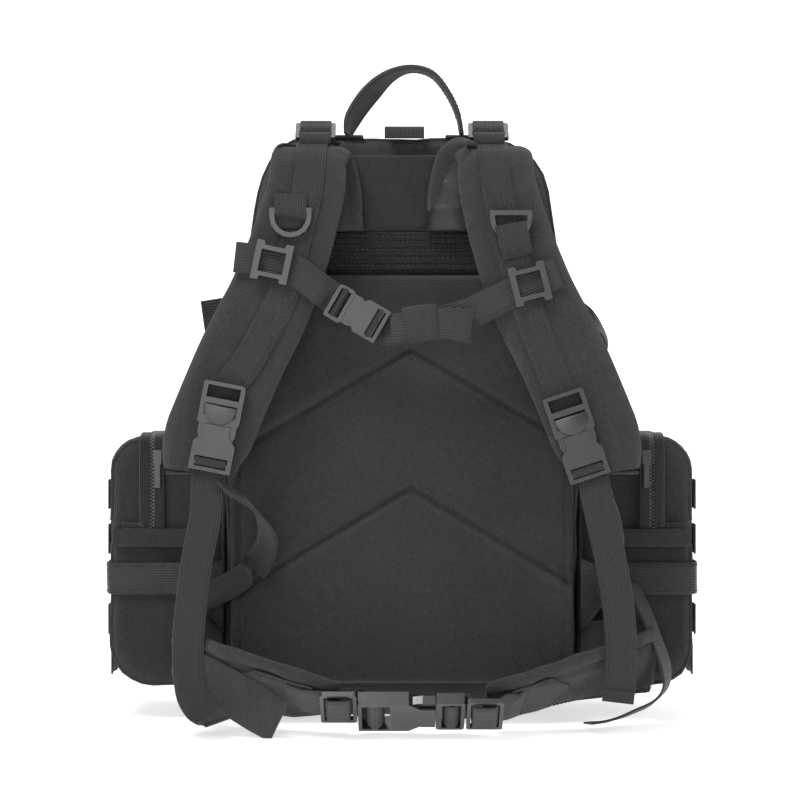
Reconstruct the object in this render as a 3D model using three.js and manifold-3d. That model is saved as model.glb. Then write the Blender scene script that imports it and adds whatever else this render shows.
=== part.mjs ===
// A trauma backpack: a clamshell main pack with a padded harness, a hip belt, two side pouches and a front
// pouch. Millimetres, +Z up. The origin is under the middle of the flat base, the harness faces -Y, and
// left and right are -X and +X, as seen by someone who faces the harness.
import * as THREE from 'three';
import { mergeVertices } from 'three/addons/utils/BufferGeometryUtils.js';
import Module from 'manifold-3d';

const wasm = await Module();
wasm.setup();

// ---------------------------------------------------------------- driving dimensions

// Everything below is placed in the pack group, where y = 0 is the plane of the back panel.
const BASE_Y = 90; // from the back panel to the middle of the flat base
const GAP = 0.4; // clearance left between pieces that touch

const PACK = { half: 147, height: 490, depth: 155, wall: 3, topRadius: 60, bottomRadius: 55 };
const ZIP_Y = 90; // main zip, between the rear tray and the front flap
const FOLD_Z = 190; // fold line that the front flap hangs on

const POUCH = { inner: 148.5, outer: 247, front: 22, back: 150, bottom: 28, top: 240, wall: 2.5 };
const POUCH_ZIP_X = 211; // the pouch flap is everything outside this line
const POUCH_FOLD_Z = 157; // and above this one
const FRONT_POUCH = { half: 108, bottom: 16, top: 182, depth: 72, foldZ: 96, zipY: 196, wall: 2.5 };
const FRONT_POCKET = { half: 100, bottom: 292, top: 440, depth: 34 };

const WEB = 25; // narrow webbing, used all over the harness
const HIP_WEB = 38; // wide webbing of the hip belt
const WEB_THICK = 1.6;

const PAD_THICK = 12; // shoulder pads
const ROLL = { y: -26, z: 457, radius: 14.5 }; // bend at the top of each shoulder strap
const WING = { width: 56, thick: 11 }; // padded wings of the hip belt
const HIP_TILT = 55; // degrees that the top of the hip buckle leans forward

// ---------------------------------------------------------------- materials

const surface = (name, color, roughness) => new THREE.MeshStandardMaterial({ name, color, roughness });
const cloth = (name, color) => surface(name, color, 0.92);
const plastic = name => surface(name, 0x1e1e1f, 0.38);
const FABRIC = 0x29292a;
const PAD_CLOTH = 0x303031;
const WEBBING = 0x242425;
const MESH = 0x141415;

// ---------------------------------------------------------------- solids

const X = new THREE.Vector3(1, 0, 0);
const Z = new THREE.Vector3(0, 0, 1);
const FORWARD = new THREE.Vector3(0, -1, 0);
const vec = (x, y, z) => new THREE.Vector3(x, y, z);
const degrees = THREE.MathUtils.degToRad;

// Volume inside an indexed mesh, negative when its faces point inwards.
function signedVolume(points, faces) {
  let total = 0;
  for (let i = 0; i < faces.length; i += 3) {
    const [a, b, c] = [points[faces[i]], points[faces[i + 1]], points[faces[i + 2]]];
    total += a.dot(b.clone().cross(c)) / 6;
  }
  return total;
}

function meshFrom(points, faces) {
  const index = signedVolume(points, faces) < 0 ? faces.slice().reverse() : faces;
  const geometry = new THREE.BufferGeometry();
  geometry.setAttribute('position', new THREE.Float32BufferAttribute(points.flatMap(p => p.toArray()), 3));
  geometry.setIndex(index);
  return geometry;
}

// Skins a closed solid over rings of points that all have the same count, with a fan at each end.
function loft(rings) {
  const count = rings[0].length;
  const points = rings.flat();
  const faces = [];
  for (let ring = 0; ring + 1 < rings.length; ring++) {
    for (let i = 0; i < count; i++) {
      const a = ring * count + i;
      const b = ring * count + (i + 1) % count;
      faces.push(a, b, b + count, a, b + count, a + count);
    }
  }
  for (const [first, turn] of [[0, 1], [(rings.length - 1) * count, 0]]) {
    const ring = points.slice(first, first + count);
    const middle = ring.reduce((sum, p) => sum.add(p), vec(0, 0, 0)).divideScalar(count);
    points.push(middle);
    for (let i = 0; i < count; i++) {
      const edge = [first + i, first + (i + 1) % count];
      faces.push(points.length - 1, edge[turn], edge[1 - turn]);
    }
  }
  return meshFrom(points, faces);
}

const solidOf = geometry => {
  const bare = geometry.clone();
  bare.deleteAttribute('normal');
  bare.deleteAttribute('uv');
  const merged = mergeVertices(bare, 1e-4);
  const mesh = { numProp: 3, vertProperties: merged.attributes.position.array };
  return new wasm.Manifold(new wasm.Mesh({ ...mesh, triVerts: new Uint32Array(merged.index.array) }));
};

const geometryOf = solid => {
  const mesh = solid.getMesh();
  const geometry = new THREE.BufferGeometry();
  geometry.setAttribute('position', new THREE.BufferAttribute(mesh.vertProperties, 3));
  geometry.setIndex(new THREE.BufferAttribute(mesh.triVerts, 1));
  return geometry;
};

const cut = (first, ...rest) => geometryOf(rest.reduce((s, g) => s.subtract(solidOf(g)), solidOf(first)));
const join = (first, ...rest) => geometryOf(rest.reduce((s, g) => s.add(solidOf(g)), solidOf(first)));
const common = (first, second) => geometryOf(solidOf(first).intersect(solidOf(second)));

const block = ([x0, x1], [y0, y1], [z0, z1]) => new THREE.BoxGeometry(x1 - x0, y1 - y0, z1 - z0)
  .translate((x0 + x1) / 2, (y0 + y1) / 2, (z0 + z1) / 2);

// A rectangle with round corners, as [across, up] pairs. Radii: low right, high right, high left, low left.
function roundedOutline([left, right], [bottom, top], radii, steps = 4) {
  const corners = [[right, bottom, -1, 1], [right, top, -1, -1], [left, top, 1, -1], [left, bottom, 1, 1]];
  return corners.flatMap(([x, z, dx, dz], corner) => {
    const r = radii[corner];
    const start = -90 + 90 * corner;
    return Array.from({ length: steps + 1 }, (_, i) => {
      const angle = degrees(start + 90 * i / steps);
      return [x + dx * r + r * Math.cos(angle), z + dz * r + r * Math.sin(angle)];
    });
  });
}

// A soft box lofted along Y. Each station is [y, side, top, bottom], with its insets from the full outline.
// The pack narrows towards the shoulders: an outline in xz loses this share of what lies outside the spine.
const TAPER = { from: 245, to: 430, spine: 60, share: 0.25 };
function tapered(outline) {
  const narrow = ([x, z]) => {
    const t = THREE.MathUtils.clamp((z - TAPER.from) / (TAPER.to - TAPER.from), 0, 1);
    const outer = Math.max(Math.abs(x) - TAPER.spine, 0);
    return [x - Math.sign(x) * outer * TAPER.share * t, z];
  };
  return outline.flatMap(([x, z], i) => {
    const [nextX, nextZ] = outline[(i + 1) % outline.length];
    const share = (TAPER.from - z) / (nextZ - z);
    const bend = share > 0 && share < 1 ? [[x + (nextX - x) * share, TAPER.from]] : [];
    return [narrow([x, z]), ...bend];
  });
}

function softBox({ x, z, radii, stations, steps = 4, shrink = 0, shape = outline => outline }) {
  return loft(stations.map(([y, side, top, bottom]) => {
    const across = [x[0] + side + shrink, x[1] - side - shrink];
    const up = [z[0] + bottom + shrink, z[1] - top - shrink];
    const corner = radii.map(r => Math.max(r - shrink - side / 3, 1));
    return shape(roundedOutline(across, up, corner, steps)).map(([a, b]) => vec(a, y, b));
  }));
}

const FLAT = [[-0.5, -0.5], [0.5, -0.5], [0.5, 0.5], [-0.5, 0.5]];
const PADDED = [[-0.5, -0.2], [-0.45, -0.42], [-0.3, -0.5], [0.3, -0.5], [0.45, -0.42], [0.5, -0.2],
  [0.5, 0.2], [0.45, 0.42], [0.3, 0.5], [-0.3, 0.5], [-0.45, 0.42], [-0.5, 0.2]];

// A strip swept along a smooth path. Each stop is [x, y, z] on its centre line, or [x, y, z, ax, ay, az]
// with the direction across the strip there. Width may change with the way travelled, from 0 to 1.
function strip(stops, { width, thick = WEB_THICK, across = X, steps = 12, section = FLAT, lift = 0 }) {
  const path = new THREE.CatmullRomCurve3(stops.map(s => vec(s[0], s[1], s[2])));
  const sides = stops.map(s => (s.length > 3 ? vec(s[3], s[4], s[5]).normalize() : across.clone()));
  const turning = new THREE.CatmullRomCurve3(sides, false, 'catmullrom');
  const rings = [];
  for (let i = 0; i <= steps; i++) {
    const t = i / steps;
    const ahead = path.getTangent(t);
    const side = turning.getPoint(t).projectOnPlane(ahead).normalize();
    const out = side.clone().cross(ahead);
    const centre = path.getPoint(t).addScaledVector(out, lift);
    const w = typeof width === 'function' ? width(t) : width;
    const point = ([u, v]) => centre.clone().addScaledVector(side, u * w).addScaledVector(out, v * thick);
    rings.push(section.map(point));
  }
  return loft(rings);
}

// A plate cut from an outline, centred on its thickness, with windows through it.
function plate(outline, thick, windows = []) {
  const shape = new THREE.Shape(outline.map(([a, b]) => new THREE.Vector2(a, b)));
  shape.holes = windows.map(w => new THREE.Path(w.map(([a, b]) => new THREE.Vector2(a, b))));
  return new THREE.ExtrudeGeometry(shape, { depth: thick, bevelEnabled: false }).translate(0, 0, -thick / 2);
}

const window4 = ([u0, u1], half) => [[u0, -half], [u1, -half], [u1, half], [u0, half]];

// ---------------------------------------------------------------- scene graph

const backpack = new THREE.Group();
const pack = new THREE.Group();
pack.position.y = -BASE_Y;
backpack.add(pack);

function piece(name, geometry, material) {
  const mesh = new THREE.Mesh(geometry, material);
  mesh.name = name;
  pack.add(mesh);
  return mesh;
}

// Turns a piece so that its own x runs along, its own z faces out, and its origin sits at the given point.
function aim(mesh, at, along, facing) {
  const across = facing.clone().cross(along).normalize();
  mesh.quaternion.setFromRotationMatrix(new THREE.Matrix4().makeBasis(along, across, facing));
  mesh.position.copy(at);
  return mesh;
}

const SIDES = [['left', -1], ['right', 1]];
const UP = [0, 0, 1];
const mirrored = (stops, sign, [dx, dy, dz] = [1, 0, 0]) => stops.map(
  ([x, y, z, ax = dx, ay = dy, az = dz]) => [sign * x, y, z, sign * ax, ay, az]);

// ---------------------------------------------------------------- main pack

const BODY = {
  x: [-PACK.half, PACK.half],
  z: [0, PACK.height],
  radii: [PACK.bottomRadius, PACK.topRadius, PACK.topRadius, PACK.bottomRadius],
  steps: 6,
  shape: tapered,
};
// The edge towards the back panel is rounded, and rises furthest at the bottom.
const BODY_STATIONS = [[0, 10, 10, 36], [6, 4, 3, 22], [16, 0, 0, 10], [30, 0, 0, 3], [48, 0, 0, 0],
  [141, 0, 0, 0], [150, 4, 4, 4], [PACK.depth, 12, 12, 12]];
const body = softBox({ ...BODY, stations: BODY_STATIONS });
const hollowStations = BODY_STATIONS.map(([y, ...insets]) => [
  THREE.MathUtils.clamp(y, PACK.wall, PACK.depth - PACK.wall), ...insets]);
const hollow = softBox({ ...BODY, stations: hollowStations, shrink: PACK.wall });
const walls = cut(body, hollow);
const frontRegion = gap => block([-200, 200], [ZIP_Y + gap, 200], [FOLD_Z + gap, 600]);

piece('main_shell', cut(walls, frontRegion(-GAP / 2)), cloth('main_shell', FABRIC));
piece('front_flap', common(walls, frontRegion(GAP / 2)), cloth('front_flap', FABRIC));

const panel = (x, z, radii, y, thick) => plate(tapered(roundedOutline(x, z, radii)), thick)
  .rotateX(Math.PI / 2).translate(0, y, 0);
const BACK_PAD = { half: 143, bottom: 34, top: 374, thick: 12 };
const backPad = panel([-BACK_PAD.half, BACK_PAD.half], [BACK_PAD.bottom, BACK_PAD.top], [34, 4, 4, 34],
  -GAP - BACK_PAD.thick / 2, BACK_PAD.thick);
piece('back_pad', backPad, cloth('back_pad', FABRIC));
const yoke = panel([-140, 140], [377, 409], [2, 2, 2, 2], -GAP - 2.3, 4.6);
piece('yoke_band', yoke, cloth('yoke_band', MESH));
const upperPanel = panel([-134, 134], [411, 474], [2, 48, 48, 2], -GAP - 2, 4);
piece('upper_back_panel', upperPanel, cloth('upper_back_panel', FABRIC));

const FRAME_SHEET = { half: 118, bottom: 42, top: 462, thick: 1.6 };
const sheet = panel([-FRAME_SHEET.half, FRAME_SHEET.half], [FRAME_SHEET.bottom, FRAME_SHEET.top],
  [20, 40, 40, 20], PACK.wall + GAP + FRAME_SHEET.thick / 2, FRAME_SHEET.thick);
piece('frame_sheet', sheet, plastic('frame_sheet'));

// A flat pocket with an open top, on the inside of the frame sheet.
const SLEEVE = { half: 112, bottom: 44, top: 330, front: 5.6, back: 14.4, wall: 1.4 };
const sleeveBlock = block([-SLEEVE.half, SLEEVE.half], [SLEEVE.front, SLEEVE.back],
  [SLEEVE.bottom, SLEEVE.top]);
const sleeveHollow = block([-SLEEVE.half + SLEEVE.wall, SLEEVE.half - SLEEVE.wall],
  [SLEEVE.front + SLEEVE.wall, SLEEVE.back - SLEEVE.wall], [SLEEVE.bottom + SLEEVE.wall, SLEEVE.top + 1]);
piece('inner_sleeve', cut(sleeveBlock, sleeveHollow), cloth('inner_sleeve', FABRIC));

const tabStops = [[2, 12, 491.4], [2, 6, 495], [2, -2, 497], [2, -8, 493.5], [2, -9, 487]];
piece('top_tab', strip(tabStops, { width: 33 }), cloth('top_tab', WEBBING));

// ---------------------------------------------------------------- haul handle

const HANDLE_Y = 10;
const handleStops = [[-46, 493, 0.1], [-41, 506, 0.5], [-27, 526, 0.7], [-9, 542, 0.4], [8, 547.5, 0.1],
  [25, 543, 0], [39, 526, 0], [47, 508, 0], [50, 493, 0]];
const handle = strip(handleStops.map(([x, z, twist]) => [x, HANDLE_Y, z, twist, 1, 0]), {
  width: t => WEB * Math.min(1, 0.22 + 7 * Math.min(t, 1 - t)),
  thick: 2.4,
  steps: 22,
});
piece('haul_handle', handle, cloth('haul_handle', WEBBING));

// ---------------------------------------------------------------- pouches

const pouchBox = (shrink, stations) => softBox({
  x: [POUCH.inner, POUCH.outer], z: [POUCH.bottom, POUCH.top], radii: [34, 28, 12, 14], stations, shrink,
});
const pouchStations = [[POUCH.front, 9, 9, 9], [POUCH.front + 3, 3, 3, 3], [POUCH.front + 10, 0, 0, 0],
  [POUCH.back - 10, 0, 0, 0], [POUCH.back - 3, 3, 3, 3], [POUCH.back, 9, 9, 9]];
const pouchHollowStations = [[POUCH.front + POUCH.wall, 7, 7, 7], [POUCH.front + 10, 0, 0, 0],
  [POUCH.back - 10, 0, 0, 0], [POUCH.back - POUCH.wall, 7, 7, 7]];
const pouchWalls = cut(pouchBox(0, pouchStations), pouchBox(POUCH.wall, pouchHollowStations));
const flapRegion = gap => block([POUCH_ZIP_X + gap, 300], [0, 200], [POUCH_FOLD_Z + gap, 300]);
const pouchBody = cut(pouchWalls, flapRegion(-GAP / 2));
const pouchFlap = common(pouchWalls, flapRegion(GAP / 2));

// A zip slider with its cord pull hanging from it, facing out of a wall that lies in its own xz plane.
const SLIDER = { width: 7, length: 12, thick: 4.6, pull: 20, pullWidth: 4.4, pullThick: 2.4 };
const slider = join(
  block([-SLIDER.width / 2, SLIDER.width / 2], [-SLIDER.thick, 0], [0, SLIDER.length]),
  block([-SLIDER.pullWidth / 2, SLIDER.pullWidth / 2], [-SLIDER.thick, SLIDER.pullThick - SLIDER.thick],
    [-SLIDER.pull, 1]),
);

const LOWER_BAND = { z: 119.5, width: 27 };
// Once round the side pouch, from the back edge of the pack to its front edge.
const bandFront = POUCH.front - 2.4;
const bandBack = POUCH.back + 2.4;
const bandSide = POUCH.outer + 3.2;
const lowerBand = sign => mirrored([[150, 12], [164, 17.6], [186, bandFront], [234, bandFront],
  [245.5, bandFront + 3.4], [bandSide - 1, bandFront + 11], [bandSide, 46], [bandSide, 126],
  [bandSide - 1, bandBack - 11], [245.5, bandBack - 3.4], [234, bandBack], [186, bandBack],
  [164, bandBack + 0.6], [150, bandBack + 2.4]].map(([x, y]) => [x, y, LOWER_BAND.z]), sign, UP);

for (const [side, sign] of SIDES) {
  for (const [name, geometry] of [['side_pouch', pouchBody], ['pouch_flap', pouchFlap]]) {
    const own = sign > 0 ? geometry : geometryOf(solidOf(geometry).mirror([1, 0, 0]));
    piece(`${side}_${name}`, own, cloth(`${side}_${name}`, FABRIC));
  }
  const zip = piece(`${side}_pouch_slider`, slider, plastic('zip_slider'));
  zip.position.set(sign * (POUCH_ZIP_X - 5), POUCH.front - GAP, 216);
  const band = strip(lowerBand(sign), { width: LOWER_BAND.width, steps: 40 });
  piece(`${side}_lower_strap`, band, cloth(`${side}_lower_strap`, WEBBING));
}

// Loose ends of the two upper straps, which lie along the sides of the pack above the pouches.
const upperLeft = [[-136.9, 120, 346, 0.12, 0, 1], [-137.1, 60, 346, 0.12, 0, 1], [-139, 24, 345, 0.1, 0, 1],
  [-149, 6, 343, 0.1, 0, 1], [-166, 0, 340, 0.3, 0, 1]];
piece('left_upper_strap', strip(upperLeft, { width: WEB }), cloth('left_upper_strap', WEBBING));
const upperRight = [[136.7, 120, 348, -0.12, 0, 1], [136.9, 60, 348, -0.12, 0, 1],
  [139.5, 28, 347, -0.05, 0.1, 1], [152, 9, 339, 0.35, 0.35, 0.85], [168, 4, 325, 0.35, 0.9, 0.3],
  [172, 5, 312, 0.1, 1, 0], [166, 7, 304, -0.1, 1, 0], [158, 9, 309, -0.2, 1, 0]];
piece('right_upper_strap', strip(upperRight, { width: 20, steps: 44 }),
  cloth('right_upper_strap', WEBBING));

const FRONT_Y = PACK.depth + GAP;
const frontPouchBox = (shrink, near, far) => softBox({
  x: [-FRONT_POUCH.half, FRONT_POUCH.half],
  z: [FRONT_POUCH.bottom, FRONT_POUCH.top],
  radii: [26, 30, 30, 26],
  shrink,
  stations: [[near, 0, 0, 0], [FRONT_Y + FRONT_POUCH.depth - 10, 0, 0, 0],
    [FRONT_Y + FRONT_POUCH.depth - 3, 3, 3, 3], [far, 9, 9, 9]],
});
const frontPouchEnd = FRONT_Y + FRONT_POUCH.depth;
const frontPouchWalls = cut(frontPouchBox(0, FRONT_Y, frontPouchEnd),
  frontPouchBox(FRONT_POUCH.wall, FRONT_Y + FRONT_POUCH.wall, frontPouchEnd - FRONT_POUCH.wall));
const lidRegion = gap => block([-200, 200], [FRONT_POUCH.zipY + gap, 300], [FRONT_POUCH.foldZ + gap, 300]);
piece('front_pouch', cut(frontPouchWalls, lidRegion(-GAP / 2)), cloth('front_pouch', FABRIC));
piece('front_pouch_flap', common(frontPouchWalls, lidRegion(GAP / 2)), cloth('front_pouch_flap', FABRIC));

const frontPocket = softBox({
  x: [-FRONT_POCKET.half, FRONT_POCKET.half],
  z: [FRONT_POCKET.bottom, FRONT_POCKET.top],
  radii: [18, 30, 30, 18],
  stations: [[FRONT_Y, 0, 0, 0], [FRONT_Y + FRONT_POCKET.depth - 8, 0, 0, 0],
    [FRONT_Y + FRONT_POCKET.depth, 8, 8, 8]],
});
piece('front_pocket', frontPocket, cloth('front_pocket', FABRIC));

// The two sliders of the main zip meet at the middle of the top and part towards the sides.
for (const [side, sign] of SIDES) {
  const zip = piece(`${side}_main_slider`, slider, plastic('zip_slider'));
  zip.rotation.set(-Math.PI / 2, 0, sign * Math.PI / 2, 'ZYX');
  zip.position.set(sign * (SLIDER.length + 3), ZIP_Y - 4, PACK.height + GAP);
}

// ---------------------------------------------------------------- shoulder harness

// Centre line of a shoulder pad from the top of its roll to its lower end, for the right side.
const rollPoint = (x, angle, radius = ROLL.radius) => {
  const a = degrees(angle);
  return [x, ROLL.y + radius * Math.cos(a), ROLL.z + radius * Math.sin(a)];
};
const padY = z => THREE.MathUtils.mapLinear(z, ROLL.z, 214, ROLL.y - ROLL.radius, -52);
const padLine = [[77, 447], [82, 425], [92, 391], [107, 351], [131, 302], [152, 252], [161, 228],
  [163.5, 213]];
const padStops = [rollPoint(73, 88), rollPoint(74, 115), rollPoint(75, 145),
  ...padLine.map(([x, z]) => [x, padY(z), z])];
const padWidth = t => 63 + 9 * Math.min(1, 2.2 * t);
const ROOT_X = { left: 64, right: 52 }; // the right back leg runs further inwards

const WEB_LIFT = PAD_THICK / 2 + GAP + WEB_THICK / 2 + 0.3;
const centreWeb = {
  left: [[77, 440], [88, 391], [98, 351], [113, 322], [127, 297], [137, 284.5]],
  right: [[77, 440], [88, 391], [99, 351], [109, 322], [119, 297], [125, 281]],
};

// Side-release buckle. Its own x runs from the male half to the female half, and 0 is where they meet.
function buckleHalves({ web, body: bodyWidth, thick, shell, frame, base, tooth }, prongsApart) {
  const half = bodyWidth / 2;
  const slot = web / 2 + 0.8;
  const start = GAP;
  const waist = half * 0.62;
  const outline = [[start, -waist], [shell * 0.34, -waist], [shell * 0.62, -half], [shell + frame, -half],
    [shell + frame, half], [shell * 0.62, half], [shell * 0.34, waist], [start, waist]];
  const slots = [window4([shell + 1.5, shell + frame * 0.42], slot),
    window4([shell + frame * 0.6, shell + frame - 3], slot - 0.4)];
  const cavity = block([-1, shell * 0.86], [-half + 2.6, half - 2.6], [-thick / 2 + 2.2, thick / 2 - 2.2]);
  const female = cut(plate(outline, thick, slots), cavity);

  const reach = shell * 0.76;
  const inner = thick - 2 * (2.2 + GAP);
  const arm = (sign, root) => {
    const tip = half - 3.2;
    const points = [[root, tip - 4], [reach * 0.45, tip - 4], [reach * 0.52, tip - 5.5],
      [reach, tip - 5], [reach, tip - 2], [reach * 0.62, tip], [reach * 0.4, tip + tooth],
      [root, tip + tooth]];
    return plate(points.map(([u, v]) => [u, sign * v]), inner);
  };
  const plug = block([-2, shell * 0.6], [-2.2, 2.2], [-inner / 2, inner / 2]);
  const frameOutline = roundedOutline([-base, 0], [-half, half], [1.5, 3, 3, 1.5], 2);
  const openings = [window4([-base + 3, -base * 0.62], slot),
    window4([-base * 0.48, -base * 0.2], slot - 0.4)];
  const frameAndPlug = join(plate(frameOutline, thick * 0.8, openings), plug);
  const arms = [1, -1].map(sign => arm(sign, prongsApart ? GAP : -1));
  return { female, male: prongsApart ? frameAndPlug : join(frameAndPlug, ...arms), arms };
}

const SHOULDER_BUCKLE = { web: WEB, body: 34, thick: 9, shell: 25, frame: 13, base: 34, tooth: 1.5 };
const STERNUM_BUCKLE = { web: 22, body: 29, thick: 8, shell: 20, frame: 12, base: 15, tooth: 1.5 };
const HIP_BUCKLE = { web: HIP_WEB, body: 46, thick: 12, shell: 35, frame: 27, base: 23, tooth: 1.5 };

// Where the two halves of each shoulder buckle meet, and how far the set leans out.
const RELEASE = {
  left: { at: [147.6, -63.5, 250], lean: 10.9 },
  right: { at: [139, -63.5, 243], lean: 18.4 },
};
// Hanging ends of the two adjusting straps, and the straps that run to the lower corners of the pack.
const tailStops = {
  left: [[157, -63.5, 206], [158, -64, 176], [165, -63, 139], [173, -61, 100], [177, -60, 72],
    [176, -61, 44], [169, -63, 24], [156, -66, 14]],
  right: [[155, -63.5, 197], [161, -64, 170], [168, -64.5, 138], [174, -64, 100], [176, -63, 66],
    [175, -62, 44], [173, -62.5, 27]],
};
const anchorStops = {
  left: [[153, -60, 201, 1, 0, 0], [151, -58.8, 196, 1, 0, 0], [134, -53, 187, 0.8, -0.3, 0.5],
    [116, -40, 168, 0.4, -0.5, 0.8], [121, -27, 145, 0.2, -0.2, 1], [141, -17, 126, 0, 0, 1],
    [155, -7, 114, 0, 0, 1], [165, 1, 108, 0, 0, 1]],
  right: [[156.5, -60.4, 194, 1, 0, 0], [158, -59, 189, 1, 0, 0], [165, -46, 172, 0.9, 0, 0.4],
    [172, -26, 142, 0.6, 0, 0.8], [170, -8, 120, 0.3, 0, 1], [163, 1, 111, 0, 0, 1]],
};
const anchorTab = plate([[149, 76], [172, 104], [172, 128], [149, 138]], 2.4)
  .rotateX(Math.PI / 2).translate(0, 1, 0);

const dRingOutline = () => {
  const arc = Array.from({ length: 9 }, (_, i) => {
    const a = Math.PI + Math.PI * i / 8;
    return [Math.cos(a), Math.sin(a)];
  });
  const round = (half, low) => arc.map(([a, b]) => [half * a, low * -b]);
  const ring = (half, low, high) => [[half, high], [-half, high], ...round(half, low)];
  return { outer: ring(17, -17, 7), inner: ring(13, -13, 3) };
};
const dRing = plate(dRingOutline().outer, 4, [dRingOutline().inner]);

// A two-bar frame for webbing: its own x runs along the web.
const ladder = (length, half, thick, web) => plate(
  roundedOutline([-length / 2, length / 2], [-half, half], [2, 2, 2, 2], 2), thick,
  [window4([-length / 2 + 3, -2.2], web / 2 + 0.8), window4([2.2, length / 2 - 3], web / 2 + 0.4)],
);

// A height slider: an upright frame with a horn at each corner, so that the chest strap hooks in.
const sliderOutline = [[-15, -16], [-9, -16], [-8, -12.5], [8, -12.5], [9, -16], [15, -16], [15, 16],
  [9, 16], [8, 12.5], [-8, 12.5], [-9, 16], [-15, 16]];
const sliderFrame = plate(sliderOutline, 4, [[[-10, -9], [10, -9], [10, 9], [-10, 9]]]);

// The left ring hangs from its bar, and the right one is flipped up and stands on its round end.
const D_RING = { left: { x: 90, z: 418 }, right: { x: 88, z: 416 } };
const CHEST = {
  left: { x: 104.6, y: -58.5, z: 381, lean: -12 },
  right: { x: 103, y: -58.4, z: 363.5, lean: 14 },
};

for (const [side, sign] of SIDES) {
  const rootX = ROOT_X[side];
  const rootStops = [[rootX, -11.5, 412], [rootX, -11.5, 436], rollPoint(rootX + 4, 0),
    rollPoint(rootX + 6, 28), rollPoint(rootX + 7, 50)];
  const rootShape = { width: 62, thick: PAD_THICK - 1, section: PADDED, steps: 8 };
  const root = strip(mirrored(rootStops, sign), rootShape);
  piece(`${side}_shoulder_root`, root, cloth(`${side}_shoulder_root`, PAD_CLOTH));

  const padShape = { width: padWidth, thick: PAD_THICK, section: PADDED, steps: 18 };
  const pad = strip(mirrored(padStops, sign), padShape);
  piece(`${side}_shoulder_pad`, pad, cloth(`${side}_shoulder_pad`, PAD_CLOTH));

  const over = [95, 120, 150].map(angle => rollPoint(74, angle, ROLL.radius + WEB_LIFT));
  const down = centreWeb[side].map(([x, z]) => [x, padY(z) - WEB_LIFT, z]);
  const web = strip(mirrored([...over, ...down], sign), { width: WEB, steps: 20 });
  piece(`${side}_shoulder_web`, web, cloth(`${side}_shoulder_web`, WEBBING));

  const lifter = [[71, 16, 491.6], [71, 4, 490.5], [71, -8, 486.2], [71, -13, 483.4]];
  piece(`${side}_lifter_strap`, strip(mirrored(lifter, sign), { width: WEB, steps: 6 }),
    cloth(`${side}_lifter_strap`, WEBBING));
  const lock = piece(`${side}_lifter_buckle`, ladder(22, 16.5, 3.6, WEB), plastic('buckle'));
  const slope = vec(0, Math.cos(degrees(40)), Math.sin(degrees(40)));
  aim(lock, vec(sign * 71, -22, 490.6), slope, slope.clone().cross(X).negate());

  const { at: [x, y, z], lean } = RELEASE[side];
  const downStrap = vec(sign * Math.sin(degrees(lean)), 0, -Math.cos(degrees(lean)));
  const halves = buckleHalves(SHOULDER_BUCKLE);
  for (const half of ['male', 'female']) {
    const mesh = piece(`${side}_shoulder_${half}`, halves[half], plastic('buckle'));
    aim(mesh, vec(sign * x, y, z), downStrap, FORWARD);
  }

  const tail = strip(mirrored(tailStops[side], sign), { width: WEB, steps: 20 });
  piece(`${side}_strap_tail`, tail, cloth(`${side}_strap_tail`, WEBBING));
  const run = strip(mirrored(anchorStops[side], sign), { width: WEB, steps: 18 });
  const tab = sign > 0 ? anchorTab : geometryOf(solidOf(anchorTab).mirror([1, 0, 0]));
  piece(`${side}_anchor_strap`, join(run, tab), cloth(`${side}_anchor_strap`, WEBBING));

  const ring = piece(`${side}_d_ring`, dRing, plastic('buckle'));
  aim(ring, vec(sign * D_RING[side].x, -54.2, D_RING[side].z), X, FORWARD);

  const chest = CHEST[side];
  const riderAlong = vec(Math.cos(degrees(chest.lean)), 0, Math.sin(degrees(chest.lean)));
  aim(piece(`${side}_chest_slider`, sliderFrame, plastic('buckle')), vec(sign * chest.x, chest.y, chest.z),
    riderAlong, FORWARD);
}

// ---------------------------------------------------------------- chest strap

const chestLeft = [[-134, -53.6, 385], [-118, -54, 383.5], [-100, -54.6, 380], [-87, -55.2, 374.5],
  [-79, -56.8, 369.5], [-64, -58.8, 359], [-60, -59.2, 356.5]];
piece('left_chest_web', strip(chestLeft, { width: WEB, across: Z }), cloth('left_chest_web', WEBBING));
const chestRight = [[-5, -59.4, 323], [8, -59.4, 329.5], [30, -59.2, 333], [50, -58.4, 338], [70, -56.8, 347],
  [86, -55.3, 355], [103, -54.9, 363], [126, -54.6, 372]];
piece('right_chest_web', strip(chestRight, { width: WEB, across: Z, steps: 16 }),
  cloth('right_chest_web', WEBBING));

const chestAlong = vec(Math.cos(degrees(30)), 0, -Math.sin(degrees(30)));
const chestBuckle = buckleHalves(STERNUM_BUCKLE);
const CHEST_MEETING = vec(-43.5, -59, 344);
for (const half of ['male', 'female']) {
  aim(piece(`chest_${half}`, chestBuckle[half], plastic('buckle')), CHEST_MEETING, chestAlong, FORWARD);
}

// ---------------------------------------------------------------- hip belt

// Each wing leaves the pack at the side of the back panel, turns forward and closes round the waist.
// A stop is [x, y, z, lean], with the degrees that its top edge leans forward.
const wingStops = {
  left: [[150, 11, 62, 8], [172, 12, 62, 8], [192, 8, 62, 12], [200, -6, 61, 20], [190, -21, 59, 28],
    [168, -34, 56, 36], [143, -45, 52, 42], [118, -54, 47, 46], [90, -61, 40, 48], [66, -65, 34, 50],
    [50, -66.5, 31, 50]],
  right: [[150, 11, 58, 8], [174, 12, 58, 8], [195, 8, 57, 12], [204, -6, 56, 20], [194, -21, 54, 28],
    [170, -34, 50, 36], [145, -45, 46, 42], [118, -53, 39.5, 46], [92, -58.2, 33, 48], [68, -59.8, 28, 50]],
};
const leaning = stops => stops.map(
  ([x, y, z, lean]) => [x, y, z, 0, -Math.sin(degrees(lean)), Math.cos(degrees(lean))]);
const HIP_FACING = vec(0, -Math.cos(degrees(HIP_TILT)), -Math.sin(degrees(HIP_TILT)));
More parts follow.
